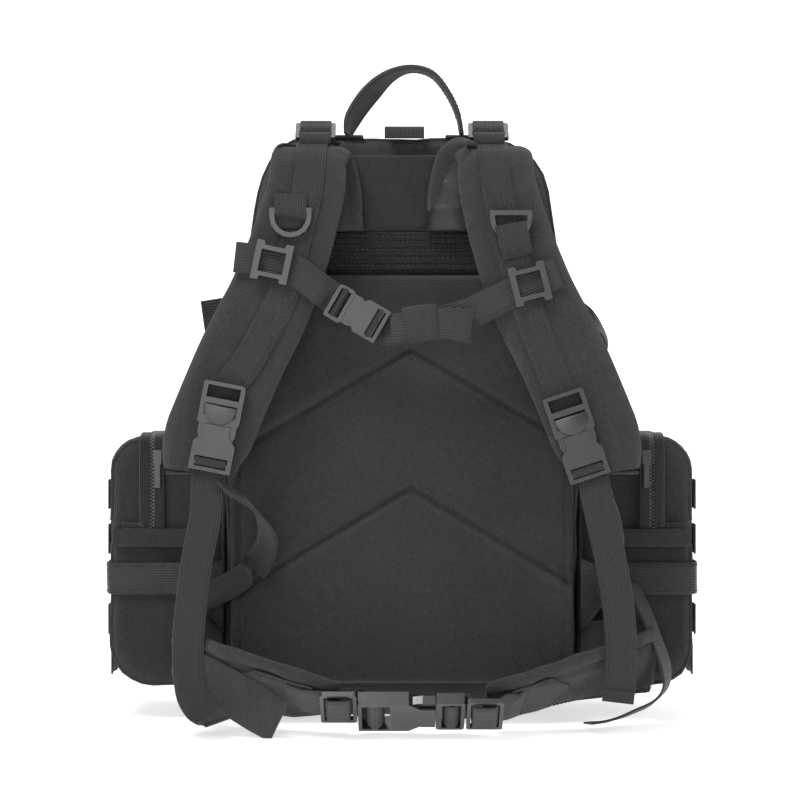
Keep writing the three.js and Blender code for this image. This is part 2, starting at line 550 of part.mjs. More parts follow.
const hipWebStops = {
  left: [[128, -50.5, 49, 45], [104, -57.5, 43.5, 48], [84, -62, 38.5, 49], [72, -64, 35.5, 50]],
  right: [[128, -50.2, 42, 45], [110, -54.6, 37.5, 47], [94, -58.1, 33.5, 48]],
};
const triGlide = { left: { x: -50.5, z: 25.5 }, right: { x: 66, z: 20 } };

for (const [side, sign] of SIDES) {
  const wing = strip(mirrored(leaning(wingStops[side]), sign), {
    width: t => WING.width - 12 * Math.max(0, t - 0.55) - 6 * Math.max(0, 0.25 - t),
    thick: WING.thick,
    section: PADDED,
    steps: 28,
  });
  piece(`${side}_hip_wing`, wing, cloth(`${side}_hip_wing`, PAD_CLOTH));
  const strap = strip(mirrored(leaning(hipWebStops[side]), sign), {
    width: HIP_WEB,
    lift: sign * -(WING.thick / 2 + 1.6),
    steps: 8,
  });
  piece(`${side}_hip_web`, strap, cloth(`${side}_hip_web`, WEBBING));
  const glide = piece(`${side}_tri_glide`, ladder(29, 23.5, 4, HIP_WEB), plastic('buckle'));
  aim(glide, vec(triGlide[side].x, -77, triGlide[side].z), X, HIP_FACING);
}

const hipBuckle = buckleHalves(HIP_BUCKLE, true);
const HIP_MEETING = vec(27, -70, 21);
const towardsLeft = X.clone().negate();
for (const half of ['male', 'female']) {
  aim(piece(`hip_${half}`, hipBuckle[half], plastic('buckle')), HIP_MEETING, towardsLeft, HIP_FACING);
}
['lower', 'upper'].forEach((name, i) => {
  aim(piece(`hip_${name}_prong`, hipBuckle.arms[i], plastic('buckle')), HIP_MEETING, towardsLeft, HIP_FACING);
});

export default backpack;
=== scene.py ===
import math

import bmesh
import bpy
import numpy as np
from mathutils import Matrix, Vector, noise


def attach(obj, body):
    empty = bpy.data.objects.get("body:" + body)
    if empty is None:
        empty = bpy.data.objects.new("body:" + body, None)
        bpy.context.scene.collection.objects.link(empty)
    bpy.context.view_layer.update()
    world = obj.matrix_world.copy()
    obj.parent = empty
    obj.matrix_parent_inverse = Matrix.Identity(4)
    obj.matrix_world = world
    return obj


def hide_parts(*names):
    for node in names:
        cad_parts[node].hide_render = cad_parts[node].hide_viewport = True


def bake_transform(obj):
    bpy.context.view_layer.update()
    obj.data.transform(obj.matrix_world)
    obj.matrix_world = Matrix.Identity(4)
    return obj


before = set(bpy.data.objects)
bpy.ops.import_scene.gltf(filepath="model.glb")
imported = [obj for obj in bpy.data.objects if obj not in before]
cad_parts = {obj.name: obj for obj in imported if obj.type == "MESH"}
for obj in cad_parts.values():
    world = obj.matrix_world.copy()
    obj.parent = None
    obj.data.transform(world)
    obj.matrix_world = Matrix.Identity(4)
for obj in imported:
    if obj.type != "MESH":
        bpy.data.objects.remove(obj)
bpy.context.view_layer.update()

MM = 0.001
BASE_Y = 90  # from the back panel to the middle of the base
NARROW_WEB, HIP_WEB = 25.4, 37  # widths of the webbing on the harness and on the hip belt
UPWARDS, LEFTWARDS, BACKWARDS = (0, 0, 1), (-1, 0, 0), (0, 1, 0)
SIDES = (("left", -1), ("right", 1))


def at(x, y, z):
    return Vector((x, y - BASE_Y, z)) * MM


# %% [markdown]
# ## Camera
# The pack is looked at from the side that goes on the wearer's back, level, from a little under two metres.
# A long lens keeps the upright edges parallel.
# %% Camera
EYE_BACK, EYE_LEVEL = 1.79, 0.27  # from the middle of the base, and above the floor
camera = bpy.data.objects.new("camera", bpy.data.cameras.new("camera"))
bpy.context.scene.collection.objects.link(camera)
camera.location = (0, -EYE_BACK, EYE_LEVEL)
camera.rotation_euler = (math.radians(90), 0, 0)
camera.data.lens = 91.8
camera.data.sensor_width = 36
camera.data.shift_x = -0.0025
bpy.context.scene.camera = camera

# %% [markdown]
# ## Cloth and plastic
# The bag is heavy nylon with a plain weave, matt and nearly black. Webbing is the same yarn in thick ribs
# that run along each strap, so they are drawn from the strap's own width and length, which are kept as its
# UV. The cloth's threads run with the cuts of the bag, so three sine waves along the axes make a weave on
# any face.
# %% Node helpers


def link_math(tree, operation, a, b=None):
    node = tree.nodes.new("ShaderNodeMath")
    node.operation = operation
    for socket, value in zip(node.inputs, (a, b)):
        if value is None:
            continue
        if isinstance(value, (int, float)):
            socket.default_value = value
        else:
            tree.links.new(value, socket)
    return node.outputs[0]


def cloud(tree, vector, scale, detail=3.0, rough=0.55):
    node = tree.nodes.new("ShaderNodeTexNoise")
    node.inputs["Scale"].default_value = scale
    node.inputs["Detail"].default_value = detail
    node.inputs["Roughness"].default_value = rough
    tree.links.new(vector, node.inputs["Vector"])
    return node.outputs["Fac"]


def shade_between(tree, factor, dark, light):
    ramp = tree.nodes.new("ShaderNodeValToRGB")
    ramp.color_ramp.elements[0].color = (*dark, 1)
    ramp.color_ramp.elements[1].color = (*light, 1)
    tree.links.new(factor, ramp.inputs["Fac"])
    return ramp.outputs["Color"]


def new_material(name, roughness, sheen=0.0, specular=0.5, coat=0.0):
    material = bpy.data.materials.new(name)
    material.use_nodes = True
    tree = material.node_tree
    shader = tree.nodes["Principled BSDF"]
    shader.inputs["Roughness"].default_value = roughness
    shader.inputs["Sheen Weight"].default_value = sheen
    shader.inputs["Sheen Roughness"].default_value = 0.45
    shader.inputs["Specular IOR Level"].default_value = specular
    shader.inputs["Coat Weight"].default_value = coat
    shader.inputs["Coat Roughness"].default_value = 0.3
    where = tree.nodes.new("ShaderNodeTexCoord")
    return material, tree, shader, where


def raise_surface(tree, shader, height, distance):
    bump = tree.nodes.new("ShaderNodeBump")
    bump.inputs["Distance"].default_value = distance
    bump.inputs["Strength"].default_value = 1.0
    tree.links.new(height, bump.inputs["Height"])
    tree.links.new(bump.outputs["Normal"], shader.inputs["Normal"])


# %% Woven cloth


FIBRE_SHARE = 0.65  # how much of the tone comes from single fibres; slow patches of wear make up the rest


def woven_cloth(name, shade, pitch_mm, sheen=0.12, roughness=0.8, depth=0.0005, spread=0.95, specular=0.3):
    material, tree, shader, where = new_material(name, roughness, sheen, specular)
    split = tree.nodes.new("ShaderNodeSeparateXYZ")
    tree.links.new(where.outputs["Object"], split.inputs[0])
    turns = 2 * math.pi / (pitch_mm * MM)
    waves = [link_math(tree, "SINE", link_math(tree, "MULTIPLY", split.outputs[i], turns)) for i in range(3)]
    weave = link_math(tree, "ADD", link_math(tree, "ADD", waves[0], waves[1]), waves[2])
    fibres = cloud(tree, where.outputs["Object"], 330, 3)
    patches = cloud(tree, where.outputs["Object"], 14, 5, 0.6)
    worn = link_math(tree, "ADD", link_math(tree, "MULTIPLY", patches, 1 - FIBRE_SHARE),
                     link_math(tree, "MULTIPLY", fibres, FIBRE_SHARE))
    dark = [v * (1 - spread) for v in shade]
    light = [v * (1 + spread) for v in shade]
    tree.links.new(shade_between(tree, worn, dark, light), shader.inputs["Base Color"])
    height = link_math(tree, "ADD", link_math(tree, "MULTIPLY", weave, 0.3), fibres)
    raise_surface(tree, shader, height, depth)
    return material


grey = lambda v: (v, v * 0.995, v * 1.005)
PACK_CLOTH = woven_cloth("pack_cloth", grey(0.020), 1.0)
PANEL_CLOTH = woven_cloth("panel_cloth", grey(0.0235), 0.9)
PAD_CLOTH = woven_cloth("pad_cloth", grey(0.027), 0.8)


def crumpled_cloth(name, shade):
    material, tree, shader, where = new_material(name, 0.5, 0.05, 0.4)
    flat = tree.nodes.new("ShaderNodeMapping")
    flat.inputs["Scale"].default_value = (0.45, 1, 1)
    tree.links.new(where.outputs["Object"], flat.inputs["Vector"])
    creases = cloud(tree, flat.outputs["Vector"], 60, 2, 0.5)
    # The colour follows the crease height, dark in the creases and light on the crests: painted shade and
    # painted highlight.
    tree.links.new(shade_between(tree, creases, [v * 0.6 for v in shade], [v * 1.6 for v in shade]),
                   shader.inputs["Base Color"])
    raise_surface(tree, shader, creases, 0.0045)
    return material


RUCHED = crumpled_cloth("ruched_cloth", grey(0.006))
LINING = woven_cloth("lining", grey(0.035), 0.6, sheen=0.1, roughness=0.7)
THREAD = woven_cloth("thread", grey(0.028), 0.3, sheen=0.2, roughness=0.6)
PIPING = woven_cloth("piping", grey(0.024), 0.8, sheen=0.12, roughness=0.7)

# %% Webbing, mesh and plastic


WEFT_MM = 1.9  # pitch of the cross threads


def ribbed_webbing(name, shade, rib_mm=2.2):
    material, tree, shader, where = new_material(name, 0.6, 0.12, 0.4)
    split = tree.nodes.new("ShaderNodeSeparateXYZ")
    tree.links.new(where.outputs["UV"], split.inputs[0])
    ribs = link_math(tree, "SINE", link_math(tree, "MULTIPLY", split.outputs[0], 2 * math.pi / (rib_mm * MM)))
    ends = link_math(tree, "SINE",
                     link_math(tree, "MULTIPLY", split.outputs[1], 2 * math.pi / (WEFT_MM * MM)))
    weave = link_math(tree, "ADD", ribs, link_math(tree, "MULTIPLY", ends, 0.3))
    fibres = cloud(tree, where.outputs["Object"], 700, 2)
    patches = cloud(tree, where.outputs["Object"], 25, 4)
    # The weave also sets the colour, darker in the grooves between the ribs and lighter on their tops:
    # painted shade and painted highlight. The slow patches are random tone.
    tone = link_math(tree, "ADD", link_math(tree, "MULTIPLY", patches, 0.7),
                     link_math(tree, "MULTIPLY", weave, 0.12))
    dark = [v * 0.72 for v in shade]
    light = [v * 1.3 for v in shade]
    tree.links.new(shade_between(tree, tone, dark, light), shader.inputs["Base Color"])
    height = link_math(tree, "ADD", link_math(tree, "MULTIPLY", weave, 0.5),
                       link_math(tree, "MULTIPLY", fibres, 0.4))
    raise_surface(tree, shader, height, 0.0005)
    return material


def spacer_mesh(name, shade):
    material, tree, shader, where = new_material(name, 0.8, 0.2, 0.3)
    cells = tree.nodes.new("ShaderNodeTexVoronoi")
    cells.inputs["Scale"].default_value = 420
    tree.links.new(where.outputs["Object"], cells.inputs["Vector"])
    holes = cells.outputs["Distance"]
    tree.links.new(shade_between(tree, holes, [v * 0.4 for v in shade], [v * 1.5 for v in shade]),
                   shader.inputs["Base Color"])
    raise_surface(tree, shader, holes, 0.0006)
    return material


def moulded_plastic(name, shade, roughness=0.34):
    material, tree, shader, where = new_material(name, roughness, 0.0, 0.6, 0.15)
    grain = cloud(tree, where.outputs["Object"], 1100, 2)
    scuffs = cloud(tree, where.outputs["Object"], 60, 6, 0.7)
    tree.links.new(shade_between(tree, scuffs, [v * 0.8 for v in shade], [v * 1.35 for v in shade]),
                   shader.inputs["Base Color"])
    rough = link_math(tree, "ADD", link_math(tree, "MULTIPLY", scuffs, 0.22), roughness - 0.1)
    tree.links.new(rough, shader.inputs["Roughness"])
    raise_surface(tree, shader, grain, 0.00006)
    return material


WEBBING = ribbed_webbing("webbing", grey(0.0125))
FINE_WEBBING = ribbed_webbing("fine_webbing", grey(0.012), 1.6)
MESH_CLOTH = spacer_mesh("mesh_cloth", grey(0.006))
BUCKLE = moulded_plastic("buckle_plastic", grey(0.009), 0.34)
SHEET = moulded_plastic("sheet_plastic", grey(0.02), 0.55)
# The zip teeth are dark plastic; their grey colour, far lighter than the other plastic, is painted highlight.
ZIP_TEETH_PAINTED_HIGHLIGHT = moulded_plastic("zip_teeth", grey(0.11), 0.3)
ZIP_TAPE = ribbed_webbing("zip_tape", grey(0.005), 1.6)
print(len(bpy.data.materials), "materials")

# %% [markdown]
# ## Sewing helpers
# Nearly everything on a pack is a strip that follows a path: webbing, padded straps, piping, zips. One
# helper sweeps a cross-section along a smooth curve and keeps the width and length as UV. Others lay
# stitches and zip teeth along a line. A last one says which body a piece moves with and which solid it
# stands for.
# %% Meshes and bodies


def mesh_piece(name, points, faces, material, uvs=None):
    mesh = bpy.data.meshes.new(name)
    mesh.from_pydata([tuple(p) for p in points], [], faces)
    if uvs is not None:
        layer = mesh.uv_layers.new(name="UVMap")
        corners = np.array([loop.vertex_index for loop in mesh.loops])
        layer.data.foreach_set("uv", np.array(uvs, np.float32)[corners].ravel())
    mesh.polygons.foreach_set("use_smooth", [True] * len(mesh.polygons))
    mesh.materials.append(material)
    piece = bpy.data.objects.new(name, mesh)
    bpy.context.scene.collection.objects.link(piece)
    tidy = bmesh.new()
    tidy.from_mesh(mesh)
    bmesh.ops.recalc_face_normals(tidy, faces=tidy.faces)
    tidy.to_mesh(mesh)
    tidy.free()
    return piece


def wear(piece, body, stands_for=()):
    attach(piece, body)
    return dress(piece, stands_for)


def bend(piece, body, other, start, end, slot, stands_for=(), fill=None):
    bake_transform(piece)
    return dress(piece, stands_for)


def dress(piece, stands_for):
    if stands_for:
        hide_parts(*stands_for)
    return piece


# %% Smooth paths


def smooth_point(stops, t):
    spans = len(stops) - 1
    i = min(int(t * spans), spans - 1)
    w = t * spans - i
    p1, p2 = stops[i], stops[i + 1]
    p0 = stops[i - 1] if i else 2 * p1 - p2
    p3 = stops[i + 2] if i + 2 <= spans else 2 * p2 - p1
    d0, d1, d2 = (max(np.linalg.norm(b - a) ** 0.5, 1e-4) for a, b in ((p0, p1), (p1, p2), (p2, p3)))
    m1 = ((p1 - p0) / d0 - (p2 - p0) / (d0 + d1) + (p2 - p1) / d1) * d1
    m2 = ((p2 - p1) / d1 - (p3 - p1) / (d1 + d2) + (p3 - p2) / d2) * d1
    return p1 + m1 * w + (3 * p2 - 3 * p1 - 2 * m1 - m2) * w**2 + (2 * p1 - 2 * p2 + m1 + m2) * w**3


def unit(v):
    return v / max(np.linalg.norm(v), 1e-12)


def along(value, share):
    """A measure that may change with the share of the way travelled."""
    return value(share) if callable(value) else value


class Path:
    """A smooth line in millimetres, with the direction across it at every place."""

    def __init__(self, stops, across=(1, 0, 0), steps=48):
        self.steps = steps
        line = [np.array(s[:3], float) for s in stops]
        sides = [unit(np.array(s[3:6] if len(s) > 3 else across, float)) for s in stops]
        self.points = [smooth_point(line, i / steps) for i in range(steps + 1)]
        self.sides, self.outs = [], []
        for i in range(steps + 1):
            ahead = unit(self.points[min(i + 1, steps)] - self.points[max(i - 1, 0)])
            side = smooth_point(sides, i / steps)
            side = unit(side - ahead * (side @ ahead))
            self.sides.append(side)
            self.outs.append(np.cross(side, ahead))
        gaps = [np.linalg.norm(b - a) for a, b in zip(self.points, self.points[1:])]
        self.travel = np.concatenate([[0], np.cumsum(gaps)])
        self.length = self.travel[-1]

    def frame(self, distance):
        i = min(max(int(np.searchsorted(self.travel, distance)) - 1, 0), self.steps - 1)
        w = (distance - self.travel[i]) / max(self.travel[i + 1] - self.travel[i], 1e-9)
        w = min(max(w, 0), 1)
        mix = lambda rows: rows[i] * (1 - w) + rows[i + 1] * w
        return mix(self.points), unit(mix(self.sides)), unit(mix(self.outs))

    def row(self, sideways, out, start=0.0, end=None, step=2.0):
        """A line that runs along the path, moved sideways and outwards."""
        end = self.length if end is None else end
        count = max(int((end - start) / step), 1)
        line = []
        for i in range(count + 1):
            gone = start + (end - start) * i / count
            p, side, face = self.frame(gone)
            line.append(p + side * along(sideways,
                                         gone / self.length) + face * along(out, gone / self.length))
        return line


def mirrored(stops, sign):
    return [(sign * s[0], s[1], s[2], *((sign * s[3], s[4], s[5]) if len(s) > 3 else ())) for s in stops]


# %% Sweep a cross-section
WEB_SECTION = [(-0.5, -0.25), (-0.485, -0.5), (-0.25, -0.5), (0, -0.5), (0.25, -0.5), (0.485, -0.5),
               (0.5, -0.25), (0.5, 0.25), (0.485, 0.5), (0.25, 0.5), (0, 0.5), (-0.25, 0.5), (-0.485, 0.5),
               (-0.5, 0.25)]


def swept(name, path, width, thick, material, section=WEB_SECTION, lift=0.0, ruffle=0.0):
    """Width, thick and lift are in millimetres, or functions of the share of the way travelled."""
    points, uvs = [], []
    around = len(section)
    for i, (p, side, face) in enumerate(zip(path.points, path.sides, path.outs)):
        t = path.travel[i] / path.length
        w, h, up = along(width, t), along(thick, t), along(lift, t)
        for u, v in section:
            q = p + side * u * w + face * (v * h + up)
            if ruffle:
                q = q + face * ruffle * noise.noise(Vector(q) * 0.06) * (1 if v > 0 else 0.4)
            points.append(at(*q))
            uvs.append((u * w * MM, path.travel[i] * MM))
    rows = len(path.points)
    faces = [(r * around + k, r * around + (k + 1) % around, (r + 1) * around + (k + 1) % around,
              (r + 1) * around + k)
             for r in range(rows - 1) for k in range(around)]
    faces.append(tuple(range(around)))
    faces.append(tuple(range((rows - 1) * around, rows * around)))
    return mesh_piece(name, points, faces, material, uvs)


TUBE_SECTION = [(0.5 * math.cos(math.pi * k / 4), 0.5 * math.sin(math.pi * k / 4)) for k in range(8)]


def line_path(line):
    """A path through points that are already close together."""
    return Path([tuple(p) for p in line], across=(0.31, 0.23, 0.92), steps=max(len(line) - 1, 2))


def cord_along(name, line, diameter, material):
    return swept(name, line_path(line), diameter, diameter, material, TUBE_SECTION)


# %% Stitches and zip teeth


STITCH_THICK = 0.75


def stitches(name, rows, pitch=3.4, length=2.5):
    """Rows are lines of points in millimetres. Each stitch is a small spindle that lies on the cloth."""
    points, faces = [], []
    for line in rows:
        path = line_path(line)
        for n in range(int(path.length / pitch)):
            p, _, _ = path.frame((n + 0.5) * pitch)
            q, _, _ = path.frame((n + 0.5) * pitch + 0.8)
            ahead = unit(q - p)
            side = unit(np.cross(ahead, (0.1, 0.9, 0.2)))
            up = np.cross(side, ahead)
            base = len(points)
            for share, fat in ((-0.5, 0.35), (-0.25, 1), (0.25, 1), (0.5, 0.35)):
                for k in range(6):
                    a = math.pi * k / 3
                    ring = (side * math.cos(a) + up * math.sin(a)) * STITCH_THICK * 0.5 * fat
                    points.append(at(*(p + ahead * share * length + ring)))
            for r in range(3):
                for k in range(6):
                    faces.append((base + 6 * r + k, base + 6 * r + (k + 1) % 6,
                                  base + 6 * r + 6 + (k + 1) % 6, base + 6 * r + 6 + k))
            faces.append(tuple(base + k for k in range(6)))
            faces.append(tuple(base + 18 + k for k in range(6)))
    return mesh_piece(name, points, faces, THREAD)


def zip_teeth(name, path, lift, tooth=(1.1, 3.6, 1.6), pitch=1.5):
    """Teeth lie across the path in turn from each side, and meet in the middle."""
    points, faces = [], []
    for n in range(int(path.length / pitch)):
        p, side, face = path.frame((n + 0.5) * pitch)
        ahead = np.cross(face, side)
        middle = p + face * lift + side * (1.6 if n % 2 else -1.6)
        base = len(points)
        for c, shrink in ((-0.5, 1.0), (0.5, 0.7)):
            for a, b in ((-0.5, -0.5), (0.5, -0.5), (0.5, 0.5), (-0.5, 0.5)):
                corner = ahead * a * tooth[0] * shrink + side * b * tooth[1] * shrink + face * c * tooth[2]
                points.append(at(*(middle + corner)))
        faces += [(base, base + 1, base + 2, base + 3), (base + 4, base + 5, base + 6, base + 7)]
        faces += [(base + k, base + (k + 1) % 4, base + 4 + (k + 1) % 4, base + 4 + k) for k in range(4)]
    return mesh_piece(name, points, faces, ZIP_TEETH_PAINTED_HIGHLIGHT)


# %% [markdown]
# ## The bag
# The main pack is a clamshell: a deep tray behind, and a front flap that a zip lets down. Both are one smooth
# lofted skin with the slow bulges and creases of empty cloth. It is cut along the zip, so that its two halves
# meet exactly, and each half is given a thickness inwards.
# %% Rings and skins


def rounded_ring(x, z, radii, corner=6, side=14):
    """Points round a rectangle with round corners: low right, high right, high left, low left."""
    (left, right), (low, high) = x, z
    spots = [(right, low, -1, 1), (right, high, -1, -1), (left, high, 1, -1), (left, low, 1, 1)]
    ring = []
    for n, (cx, cz, dx, dz) in enumerate(spots):
        r = radii[n]
        for i in range(corner + 1):
            a = math.radians(-90 + 90 * n + 90 * i / corner)
            ring.append((cx + dx * r + r * math.cos(a), cz + dz * r + r * math.sin(a)))
        nx, nz, ndx, ndz = spots[(n + 1) % 4]
        nr = radii[(n + 1) % 4]
        a = math.radians(90 * n)
        start = np.array(ring[-1])
        finish = np.array((nx + ndx * nr + nr * math.cos(a), nz + ndz * nr + nr * math.sin(a)))
        ring += [tuple(start + (finish - start) * k / side) for k in range(1, side)]
    return ring


TAPER_Z, TAPER_RISE, TAPER_SHARE, SPINE_HALF = 245, 185, 0.25, 60


def narrowed(x, z):
    """The pack narrows towards the shoulders: what lies outside the spine draws in by a quarter."""
    rise = min(max((z - TAPER_Z) / TAPER_RISE, 0), 1)
    return x - math.copysign(max(abs(x) - SPINE_HALF, 0) * TAPER_SHARE * rise, x)


class Bag:
    """A soft box whose outline stands in XZ and which is lofted along Y. All in millimetres."""

    def __init__(self, x, z, radii, stations, bulge=2.0, crease=1.2, soft=40, cap_out=(0, 0), seed=0,
                 taper=False):
        self.x, self.z, self.radii, self.stations = x, z, radii, stations
        self.bulge, self.crease, self.soft, self.cap_out, self.seed = bulge, crease, soft, cap_out, seed
        self.taper = taper
        self.low = np.array([x[0], stations[0][0], z[0]], float)
        self.high = np.array([x[1], stations[-1][0], z[1]], float)

    def outward(self, p):
        room = np.minimum(self.soft, (self.high - self.low) / 2 - 1)
        inner = np.clip(p, self.low + room, self.high - room)
        return unit(p - inner)

    def slump(self, p):
        p = np.array(p, float)
        q = Vector(p + self.seed * 31.7)
        wide = noise.noise(q * 0.011) * self.bulge
        fine = noise.noise(Vector((q.x * 0.05, q.y * 0.03, q.z * 0.022))) * self.crease
        folds = abs(noise.noise(Vector((q.x * 0.022, q.y * 0.02, q.z * 0.05)))) * -self.crease
        return p + self.outward(p) * (wide + fine + folds)

    def ring(self, y, side, top, bottom):
        x = (self.x[0] + side, self.x[1] - side)
        z = (self.z[0] + bottom, self.z[1] - top)
        radii = [max(r - side / 3, 1) for r in self.radii]
        return [(narrowed(a, b) if self.taper else a, y, b) for a, b in rounded_ring(x, z, radii)]

    def insets(self, y):
        rows = np.array(self.stations, float)
        return [float(np.interp(y, rows[:, 0], rows[:, k])) for k in (1, 2, 3)]

    def line(self, y, out=0.0):
        """The skin's own line round the bag at y, raised by out."""
        return [self.slump(p) + self.outward(np.array(p, float)) * out for p in self.ring(y, *self.insets(y))]

    def skin(self, name, material, spacing=9, keep=None, cuts=()):
        ys = []
        for a, b in zip(self.stations, self.stations[1:]):
            count = max(int((b[0] - a[0]) / spacing), 1)
            ys += [a[0] + (b[0] - a[0]) * k / count for k in range(count)]
        ys.append(self.stations[-1][0])
        rings = [self.ring(y, *self.insets(y)) for y in ys]
        for end, out in ((0, self.cap_out[0]), (-1, self.cap_out[1])):
            edge = np.array(rings[end], float)
            middle = edge.mean(axis=0)
            caps = []
            for share in (0.93, 0.84, 0.72, 0.58, 0.42, 0.26, 0.1):
                cap = middle + (edge - middle) * share
                cap[:, 1] += out * (1 - share**3)
                caps.append([tuple(p) for p in cap])
            rings = rings + caps if end else caps[::-1] + rings
        around = len(rings[0])
        points = [at(*self.slump(p)) for ring in rings for p in ring]
        faces = [(r * around + k, r * around + (k + 1) % around, (r + 1) * around + (k + 1) % around,
                  (r + 1) * around + k) for r in range(len(rings) - 1) for k in range(around)]
        faces += [tuple(range(around)), tuple(range((len(rings) - 1) * around, len(rings) * around))]
        piece = mesh_piece(name, points, faces, material)
        if keep:
            cut_skin(piece, keep, cuts)
        return piece


CLOTH_THICK = 0.0022


def cut_skin(piece, keep, cuts):
    """Cuts the skin along planes, and keeps the faces whose middle is where keep says."""
    work = bmesh.new()
    work.from_mesh(piece.data)
    for place, facing in cuts:
        everything = work.verts[:] + work.edges[:] + work.faces[:]
        bmesh.ops.bisect_plane(work, geom=everything, plane_co=at(*place), plane_no=facing)
    gone = []
    for face in work.faces:
        c = face.calc_center_median() / MM
        if not keep(c.x, c.y + BASE_Y, c.z):
            gone.append(face)
    bmesh.ops.delete(work, geom=gone, context="FACES")
    work.to_mesh(piece.data)
    work.free()
    thick = piece.modifiers.new("cloth", "SOLIDIFY")
    thick.thickness = CLOTH_THICK
    thick.offset = -1


# %% Main pack
CUT = 0.2  # half the gap that a zip or fold leaves
ZIP_Y, FOLD_Z = 90, 190
BODY = Bag((-147, 147), (0, 490), (55, 60, 60, 55), [
    (0, 10, 10, 36), (6, 4, 3, 22), (16, 0, 0, 10), (30, 0, 0, 3), (48, 0, 0, 0), (89.8, 0, 0, 0),
    (90.2, 0, 0, 0), (141, 0, 0, 0), (150, 4, 4, 4), (155, 12, 12, 12)], bulge=5, crease=2.6, cap_out=(0, 5),
           taper=True)
CUTS = [((0, ZIP_Y + gap, 0), BACKWARDS) for gap in (-CUT, CUT)]
CUTS += [((0, 0, FOLD_Z + gap), UPWARDS) for gap in (-CUT, CUT)]
tray = BODY.skin("main_tray", PACK_CLOTH, keep=lambda x, y, z: y < ZIP_Y - CUT or z < FOLD_Z - CUT, cuts=CUTS)
wear(tray, "pack", ["main_shell"])
front = BODY.skin("front_flap_skin", PACK_CLOTH, keep=lambda x, y, z: y > ZIP_Y + CUT and z > FOLD_Z + CUT,
                  cuts=CUTS)
wear(front, "front_flap", ["front_flap"])
print("main skin:", len(tray.data.polygons), "and", len(front.data.polygons), "faces")

# %% Piping and the main zip
for name, y, body, keep in (("back_edge_piping", 9, "pack", lambda p: True),
                            ("front_edge_piping", 147, "front_flap", lambda p: p[2] > FOLD_Z + 4),
                            ("lower_edge_piping", 147, "pack", lambda p: p[2] < FOLD_Z - 4)):
    line = BODY.line(y, 0.6)
    start = next((i for i, p in enumerate(line) if not keep(p)), 0)
    line = [p for p in line[start:] + line[:start] if keep(p)]
    if start == 0:
        line.append(line[0])
    wear(cord_along(name, line, 3.4, PIPING), body)

zip_line = [p for p in BODY.line(ZIP_Y, 0.3) if p[2] > FOLD_Z + 3]
lowest = max(range(len(zip_line)), key=lambda i: np.linalg.norm(zip_line[i] - zip_line[i - 1]))
zip_line = zip_line[lowest:] + zip_line[:lowest]
ZIP = Path([(*p, *BACKWARDS) for p in zip_line], steps=len(zip_line) * 2)
for part, offset, rider in (("rear", -6.5, "pack"), ("front", 6.5, "front_flap")):
    stops = [(p[0], p[1] + offset, p[2], *BACKWARDS) for p in zip_line]
    tape = swept(f"main_zip_tape_{part}", Path(stops, steps=len(stops) * 2), 10, 1.0, FINE_WEBBING)
    wear(tape, rider)
wear(zip_teeth("main_zip_teeth", ZIP, 0.9), "pack")
print("main zip", round(ZIP.length), "mm")

# %% [markdown]
# ## Back panel
# The wearer leans on a foam panel with a soft cloth face. Two stitched channels run across it like
# chevrons, so that it bends with the back and lets air through. The face is a fine grid of points: each one
# is set back from the edge in a quarter round, and pressed in along the channels.
# %% Padded panel


def valley(distance, width):
    return math.exp(-((distance / width) ** 2))


def padded_panel(name, half_at, z_range, back_y, depth_at, material, nx=110, nz=130):
    points, uvs = [], []
    for k in range(nz + 1):
        z = z_range[0] + (z_range[1] - z_range[0]) * k / nz
        for i in range(nx + 1):
            u = -1 + 2 * i / nx
            x = half_at(z) * math.sin(u * math.pi / 2)
            points.append(at(x, back_y - depth_at(x, z), z))
            uvs.append((x * MM, z * MM))
    row = nx + 1
    faces = [(k * row + i, k * row + i + 1, (k + 1) * row + i + 1, (k + 1) * row + i)
             for k in range(nz) for i in range(nx)]
    count = len(points)
    rim = list(range(row)) + [k * row + nx for k in range(1, nz + 1)]
    rim += [nz * row + i for i in range(nx - 1, -1, -1)] + [k * row for k in range(nz - 1, 0, -1)]
    flat = [Vector((points[i].x, (back_y - BASE_Y) * MM, points[i].z)) for i in rim]
    faces += [(rim[i], rim[(i + 1) % len(rim)], count + (i + 1) % len(rim), count + i)
              for i in range(len(rim))]
    faces.append(tuple(count + i for i in range(len(rim))))
    return mesh_piece(name, points + flat, faces, material, uvs + [(p.x, p.z) for p in flat])


def edge_round(distance, radius):
    s = min(max(distance / radius, 0), 1)
    return math.sqrt(max(1 - (1 - s) ** 2, 0))


CHANNELS = ((6.6, 311, 0.586), (6.6, 197, 0.6))  # apex x and z, and how steeply each side falls


PANEL_HALF, PANEL_LOW, PANEL_HIGH, PANEL_CORNER = 143, 34, 374, 34


def back_half(z):
    corner = PANEL_LOW + PANEL_CORNER - z
    if corner < 0:
        return narrowed(PANEL_HALF, z)
    return PANEL_HALF - PANEL_CORNER + math.sqrt(max(PANEL_CORNER**2 - corner**2, 0))


SLOPE_COS, ROW_SPREAD = 0.86, 1.16  # measures across a sloping channel, and back along z


def channel_gap(x, z):
    return min(abs(z - (top - slope * abs(x - mid))) * SLOPE_COS for mid, top, slope in CHANNELS)


def back_depth(x, z):
    side = back_half(z) - abs(x)
    ends = min(z - PANEL_LOW, PANEL_HIGH - z)
    soft = noise.noise(Vector((x * 0.012, 3.1, z * 0.014))) * 1.3 + noise.noise(
        Vector((x * 0.05, 9, z * 0.045))) * 0.5
    full = 12.6 + 3.0 * (1 - (x / PANEL_HALF) ** 2) + soft
    full -= (3.4 * valley(side - 8, 3) + 6.8 * valley(channel_gap(x, z), 4.2)
             + 2.2 * valley(PANEL_HIGH - z - 7, 3))
    return max(full * edge_round(min(side, ends), 7), 0.4)


back_panel = padded_panel("back_panel", back_half, (PANEL_LOW, PANEL_HIGH), -0.4, back_depth, PANEL_CLOTH)
wear(back_panel, "pack", ["back_pad"])

